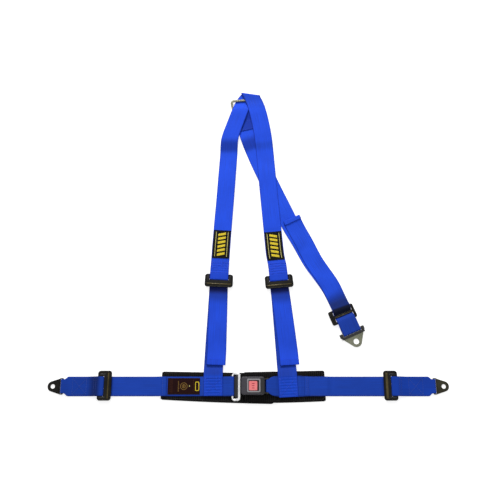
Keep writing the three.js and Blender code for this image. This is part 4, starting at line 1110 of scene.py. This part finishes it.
def lap_label():
    """Maroon patch with columns of blocks, a roundel, a dash and a frame: no lettering."""
    line = Line([(-208, 0), (-125, 0)])
    z = PAD_LAYER + 1.4
    form = strap_form(Side().to(0, z).to(83, z).stations(line, lambda u: 42, 4.0), 0.8)
    top = z + 0.36

    def mark(x0, x1, y0, y1, slot, radius=0.3):
        form.join(patch([rounded(x0, x1, y0, y1, radius, 3)], line, 0, top, 0.25, slot))

    for u, half in ((5.5, 15), (8.5, 17), (11.5, 17), (66.4, 16)):
        for k in range(7):
            v = -half + k * half * 2 / 7
            mark(u - 0.5, u + 0.5, v, v + half * 0.22, 5)
    for k in range(8):
        v = -13 + k * 3.4
        mark(26.4, 28.4 + (k % 3) * 0.6, v, v + 2.2, 1, 0.4)
    for radius in (9.4, 5.0):
        form.join(patch([circle(41.6, 0, radius), circle(41.6, 0, radius - 1.6)], line, 0, top,
                        0.25, 1, 0.1))
    mark(40.0, 43.2, -2.4, 2.4, 1, 1.2)
    mark(55.2, 57.2, -3.0, 1.6, 3, 0.8)
    form.join(patch([rounded(71.0, 81.4, -11.6, 12.0, 2.6, 4),
                     rounded(72.8, 79.6, -9.8, 10.2, 1.4, 4)], line, 0, top, slot=2))
    for v in (-19.8, 19.8):
        form.sew(line, 1.5, 81.5, v, v, z + 0.42, 4, 4, **FINE)
    form.piece("lap_belt_label", [LABEL_MAROON, GOLD, YELLOW, PALE, PAD_THREAD, BROWN],
               "left_lap", ["lap_label"], "label")


shoulder_label("left", LEFT_SHOULDER, 345.5, 426)
shoulder_label("right", RIGHT_SHOULDER, 340.5, 422)
lap_label()


# ---- adjusters and plates ----------------------------------------------------------
def adjuster(label, node, x, y, turn, body, bar_body, slot_shift=0.0, grip=1.9):
    """A pressed frame with a raised rim, an olive grip bar (partly wear, partly painted highlight)
    and light grey rails (painted highlight), and its sliding bar.
    """
    half, length, rim = 38.0, 36.0, 1.75
    form = slab([rounded(0.4, length - 0.4, -half + 0.4, half - 0.4, 7),
                 rounded(FIXED_BAR, SLOT_END, slot_shift - 25.7, slot_shift + 25.7, 1.2, 3)],
                FRAME_Z, FRAME_Z + 2.5, 0.5)
    edge = inset(rounded(0, length, -half, half, 7, 8), rim, False)
    form.join(tube(at_height(edge, FRAME_Z + 1.9), rim, 12, True))
    top = FRAME_Z + 2.3
    # Grip bar in olive steel: partly wear, partly painted highlight.
    form.join(bar((27.2, 5 - half, top), (27.2, half - 5, top), grip, 18, 1.0, 1.8 / grip), 1)
    # Thin rails in light grey steel: painted highlight along the inner rims.
    for side in (-1, 1):
        form.join(bar((4, side * 29.4, top), (20, side * 29.4, top), 0.75, 10, 0.5), 2)
    left = SLIDER_AT - BAR_INSET
    slider = slab([rounded(left, left + 6, -32, 32, 1.2, 4)], SLIDER_Z - 1.5, SLIDER_Z + 1.5, 0.6)
    for middle in (-29.75, 29.75):
        slider.join(slab([rounded(left, left + 6, middle - 2.2, middle + 2.2, 0.9, 3)],
                         SLIDER_Z + 0.6, FRAME_Z - GAP, 0.3))
    form.turned(turn, x, y).piece(f"{label}_frame", [BLACK_STEEL, WORN_AND_HIGHLIGHT_STEEL, RIM_HIGHLIGHT_STEEL], body,
        [f"{node}_adjuster_frame"], "black_steel")
    slider.turned(turn, x, y).piece(f"{label}_slider", [BLACK_STEEL], bar_body,
                                    [f"{node}_adjuster_bar"], "black_steel")


adjuster("left_lap_adjuster_steel", "left_lap", -LAP_ADJUSTER[-1], 1.5, 0, "left_lap",
         "left_lap_bar", -1.3)
adjuster("right_lap_adjuster_steel", "right_lap", LAP_ADJUSTER[1], 1.5, math.pi, "harness",
         "right_lap_bar", 1.3, 3.6)
for side_name, (ax, ay, aturn) in (("left", LEFT_ADJUSTER), ("right", RIGHT_ADJUSTER)):
    adjuster(f"{side_name}_shoulder_adjuster_steel", f"{side_name}_shoulder", ax, ay,
             aturn - math.pi / 2, "harness", f"{side_name}_shoulder_bar")


def anchor(name, node, body, material, slot, size, x, y, turn):
    """A stamped plate: slot for the webbing, joggle, and a bolt hole in its tip."""
    thick, base, slot_width, slot_end, tip, hole, hole_at = size
    lean = math.degrees(math.atan2(base / 2 - tip, hole_at - 8))
    outline = arc(hole_at, 0, tip, lean - 90, 90 - lean, 23)
    corner = [(5, base / 2), (0.4, base / 2), (-0.9, base / 2 - 0.4), (-2, base / 2 - 2)]
    outline += corner + [(px, -py) for px, py in reversed(corner)]
    form = slab([outline, rounded(2, slot_end, -slot_width / 2, slot_width / 2, 0.8, 4),
                 circle(hole_at, 0, hole)], 0, thick, 0.45)
    form = form.divided([slot_end + step for step in (0.2, 1.2, 2.2, 3.2, 4.2, 5.0)])
    lift = PLATE_BAR_Z - thick / 2
    form.move(lambda p: (p.x, p.y, p.z + lift * (1 - smoothstep(p.x, slot_end, slot_end + 5.2))))
    form.turned(turn, x, y).piece(name, [material], body, [node], slot)


LAP_PLATE = (3.0, 42.0, 36.8, 5.8, 13.4, 5.75, 26.2)
REAR_PLATE = (3.0, 67.0, 52.0, 8.6, 15.0, 7.5, 27.8)
anchor("left_anchor_steel", "left_lap_anchor_plate", "left_anchor", BLACK_STEEL,
       "black_steel", LAP_PLATE, -PLATE_BAR_X, 0, math.pi)
anchor("right_anchor_steel", "right_lap_anchor_plate", "right_anchor", OLIVE_STEEL,
       "black_steel", LAP_PLATE, PLATE_BAR_X, 0, 0)
rear_at, rear_across = REAR_LINE.spot(REAR_BAR)
REAR_TURN = math.atan2(rear_across.x, -rear_across.y)
anchor("rear_anchor_steel", "rear_anchor_plate", "rear_anchor", PLATED, "bare_steel",
       REAR_PLATE, rear_at.x, rear_at.y, REAR_TURN)


def corner_cap(number, side):
    """Moulded cap over a rear corner of the plate, with a finger groove."""
    base, thick = REAR_PLATE[1], REAR_PLATE[0]
    low = PLATE_BAR_Z - thick / 2
    high, edge = low + thick, side * (base / 2 + 1.4)
    y0, y1 = sorted((side * 26.6, edge))
    form = slab([rounded(-4, 7, y0, y1, 2.5, 6)], high + 0.3, high + 1.6, 0.6)
    form.join(slab([rounded(-4, 7, y0, y1, 2.5, 6)], low - 1.6, low - 0.3, 0.5))
    walls = [[(-4, y0), (-2.5, y0), (-2.5, y1), (-4, y1)],
             rounded(-3, 6, *sorted((edge, edge - side * 1.1)), 0.4, 3)]
    for wall in walls:
        form.join(slab([wall], low - 0.8, high + 0.8, 0.2))
    liner = (-0.4, 33.0) if side > 0 else (-33.0, 0.1)
    form.join(slab([rounded(5.2, 12.4, *liner, 1.0, 3)], high + 0.05, high + 0.9, 0.3))
    form.turned(REAR_TURN, rear_at.x, rear_at.y)
    form.piece(f"rear_cap_{number}", [BLACK_PLASTIC], "rear_anchor",
               [f"rear_plate_cap_{number}"], "black_plastic")


corner_cap(1, -1)
corner_cap(2, 1)


def triglide():
    t = TRIGLIDE
    half = t["length"] / 2
    near, far = t["bar"] / 2, half - t["bar"]
    wide, slot = t["width"] / 2, t["slot"] / 2
    low, high = t["shift"] - wide, t["shift"] + wide
    form = slab([rounded(-half, half, low, high, 5), rounded(near, far, -slot, slot, 1, 3),
                 rounded(-far, -near, -slot, slot, 1, 3)], t["z"], t["z"] + t["thick"], 0.9)
    for y in ((low - slot) / 2, (high + slot) / 2):
        form.join(bar((-half + 5, y, t["z"] + 2.7), (half - 5, y, t["z"] + 2.7), 1.1, 10, 0.8))
    # Middle bar in olive steel: partly wear, partly painted highlight.
    form.join(bar((1.4, -slot, t["z"] + 2.8), (1.4, slot, t["z"] + 2.8), 0.8, 10, 0.4), 1)
    at, across = REAR_LINE.spot(t["along"])
    form.turned(math.atan2(across.x, -across.y), at.x, at.y)
    form.piece("rear_three_bar_slide", [BLACK_STEEL, WORN_AND_HIGHLIGHT_STEEL], "harness",
               ["rear_adjuster"], "black_steel")


triglide()


# ---- ring and tongue ------------------------------------------------------------
def band(loop, z, end_radius):
    """A second bar that thickens part of a ring, thinner at its two ends."""
    radii = [end_radius] + [2.3] * (len(loop) - 2) + [end_radius]
    return tube(at_height(loop, z), radii, 16)


def shoulder_ring():
    width, height = RING_SIZE
    rod, corner = RING_ROD / 2, 8
    loop = inset(rounded(-width / 2, width / 2, -height / 2, height / 2, corner, 9), rod, False)
    form = tube(at_height(loop, RING_Z), rod, 18, True)
    x, y = width / 2 - corner, height / 2 - corner
    form.join(band([(-width / 2, -4)] + arc(-x, y, corner, 180, 90, 6)
                   + arc(x, y, corner, 90, 0, 6) + [(width / 2, -4)], RING_Z, 0.8))
    form.turned(RING_TURN, RING_CENTRE.x, RING_CENTRE.y)
    form.piece("shoulder_ring_chrome", [NICKEL], "harness", ["shoulder_ring"], "chrome")


def tongue():
    blade_z, blade_thick, rod = 13.4, 2.4, RING_ROD / 2
    left, right = -40.5, -22.3
    middle = blade_z + blade_thick / 2
    tilt = math.atan2(middle - TONGUE_BAR_Z, right - left)
    half = (right - left) / math.cos(tilt) / 2 + rod
    steps = 9
    ring = rounded(-half, half, -36, 36, 8.5, steps)
    form = tube(at_height(inset(ring, rod, False), 0), rod, 18, True)
    inner = inset(ring, rod + 2, False)[:2 * (steps + 1)]
    form.join(band([(-5, inner[0][1])] + inner + [(-5, inner[-1][1])], 0, 1.0))
    form.join(slab([rounded(-4.5, half - 6.5, -28, 28, 5, 6)], -1.4, 0.7, 0.5), 1)
    matrix = (Matrix.Translation(((left + right) / 2, -1.5, (middle + TONGUE_BAR_Z) / 2))
              @ Matrix.Rotation(-tilt, 4, "Y"))
    form.move(lambda p: matrix @ p)
    form.join(slab([rounded(right - 1, 20, -10.5, 10.5, 3), rounded(7, 17, -5.4, 5.4, 0.8, 3)],
                   blade_z, blade_z + blade_thick, 0.3), 2)
    form.piece("tongue_chrome", [CHROME_AND_PAINTED_REFLECTION, BLACK_PLASTIC, GATE_STEEL], "left_lap",
               ["latch_tongue"], "chrome")


shoulder_ring()
tongue()


# ---- buckle ------------------------------------------------------------------------
BUCKLE = (-18.0, 42.0, 22.5, 8.7, 28.0)   # left, right, half width, bottom, top
FLANGE = 18.5


def square(reach, radius):
    """The outline of a rounded square about the button."""
    return rounded(BUTTON_X - reach, BUTTON_X + reach, -reach, reach, radius)


def carve(made, *tools):
    """Cuts forms out of a piece with exact booleans, which are then applied."""
    for form in tools:
        tool = form.piece("cutter", [])
        cutter = made.modifiers.new("cut", "BOOLEAN")
        cutter.object, cutter.solver = tool, "EXACT"
        bpy.context.view_layer.update()
        graph = bpy.context.evaluated_depsgraph_get()
        mesh = bpy.data.meshes.new_from_object(made.evaluated_get(graph))
        made.modifiers.clear()
        made.data = mesh
        bpy.data.objects.remove(tool)
    smooth(made.data)


def block(x0, x1, y0, y1, z0, z1):
    return slab([[(x0, y0), (x1, y0), (x1, y1), (x0, y1)]], z0, z1, 0.01, 1)


def buckle():
    x0, x1, half, z0, top = BUCKLE
    body = slab([rounded(x0, x1, -half, half, 6, 8)], z0, top, 2.2, 5, 0.8)
    made = body.piece("buckle_shell", [GREY_PLASTIC], None, ["buckle_cover"], "grey_plastic")
    hollow = slab([rounded(x0 + 2, x1 - 2, -half + 2, half - 2, 4)], z0 - 2, top - 2, 0.3)
    window = slab([square(13.5, 1.5)], top - 4, top + 1, 0.01, 1)
    grooves = [block(x0 + 4 + k * 2.6, x0 + 5.1 + k * 2.6, *sides, 12, 24)
               for sides in ((-half - 1, -half + 0.6), (half - 0.6, half + 1)) for k in range(20)]
    slots = [block(35.6, 37.4, y, y + 7, top - 1.4, top + 1) for y in (-14, -4, 6)]
    carve(made, hollow, window, block(x0 - 1, x0 + 3, -12, 12, 12.6, 16.6),
          block(x1 - 4, x1 + 2, -FLANGE - 0.5, FLANGE + 0.5, z0 - 2, 21), *grooves, *slots)
    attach(made, "harness")

    bezel = slab([square(17, 3), square(13.6, 2)], top + 0.3, top + 1.5, 0.5)
    bezel.join(slab([rounded(31.9, 40.2, -19.5, 19.5, 1.2, 3)], top + 0.05, top + 1.0, 0.25, 2), 1)
    bezel.piece("buckle_bezel", [BEZEL_GREY, BLACK_PLASTIC], "harness", ["button_bezel"], "bezel")

    cap = slab([rounded(BUTTON_X - 12.4, BUTTON_X + 9.2, -12.4, 11.2, 2.2)],
               top - 3, top + 1.6, 1.0, 4)
    # The cap stops short at the top and right, where its dark flanges show as painted shade in the
    # gap.
    cap.join(slab([square(13, 2)], top - 3.1, top - 0.8, 0.3), 2)
    for y in (-6.2, -0.6, 5.0):
        cap.join(bar((BUTTON_X - 5.0, y, top + 1.4), (BUTTON_X + 1.8, y, top + 1.4),
                     1.2, 10, 0.5, 0.5), 1)
    cap.join(slab([square(14.5, 1)], top - 4, top - 2.4, 0.2), 2)
    leaf_top = z0 + 1.6 + 1.6 + 0.3 + 0.8
    for y in (-13.6, 11.2):
        cap.join(block(8, 16, y, y + 2.4, leaf_top + GAP, top - 3))
    cap.piece("buckle_button", [BUTTON_RED, BUTTON_MARK, BUTTON_PAINTED_SHADE], "button",
              ["push_button"], "button")


buckle()

KEPT = {"buckle_floor": GREY_PLASTIC, "buckle_base": GATE_STEEL, "webbing_pin": GATE_STEEL,
    "latch_leaf": SPRING_STEEL, "leaf_rivet_1": BARE_STEEL, "leaf_rivet_2": BARE_STEEL,
    "ejector": BLACK_PLASTIC, "ejector_spring": SPRING_STEEL,}
for node_name, material in KEPT.items():
    solid = frame["nodes"][node_name]
    solid.data.materials.clear()
    solid.data.materials.append(material)
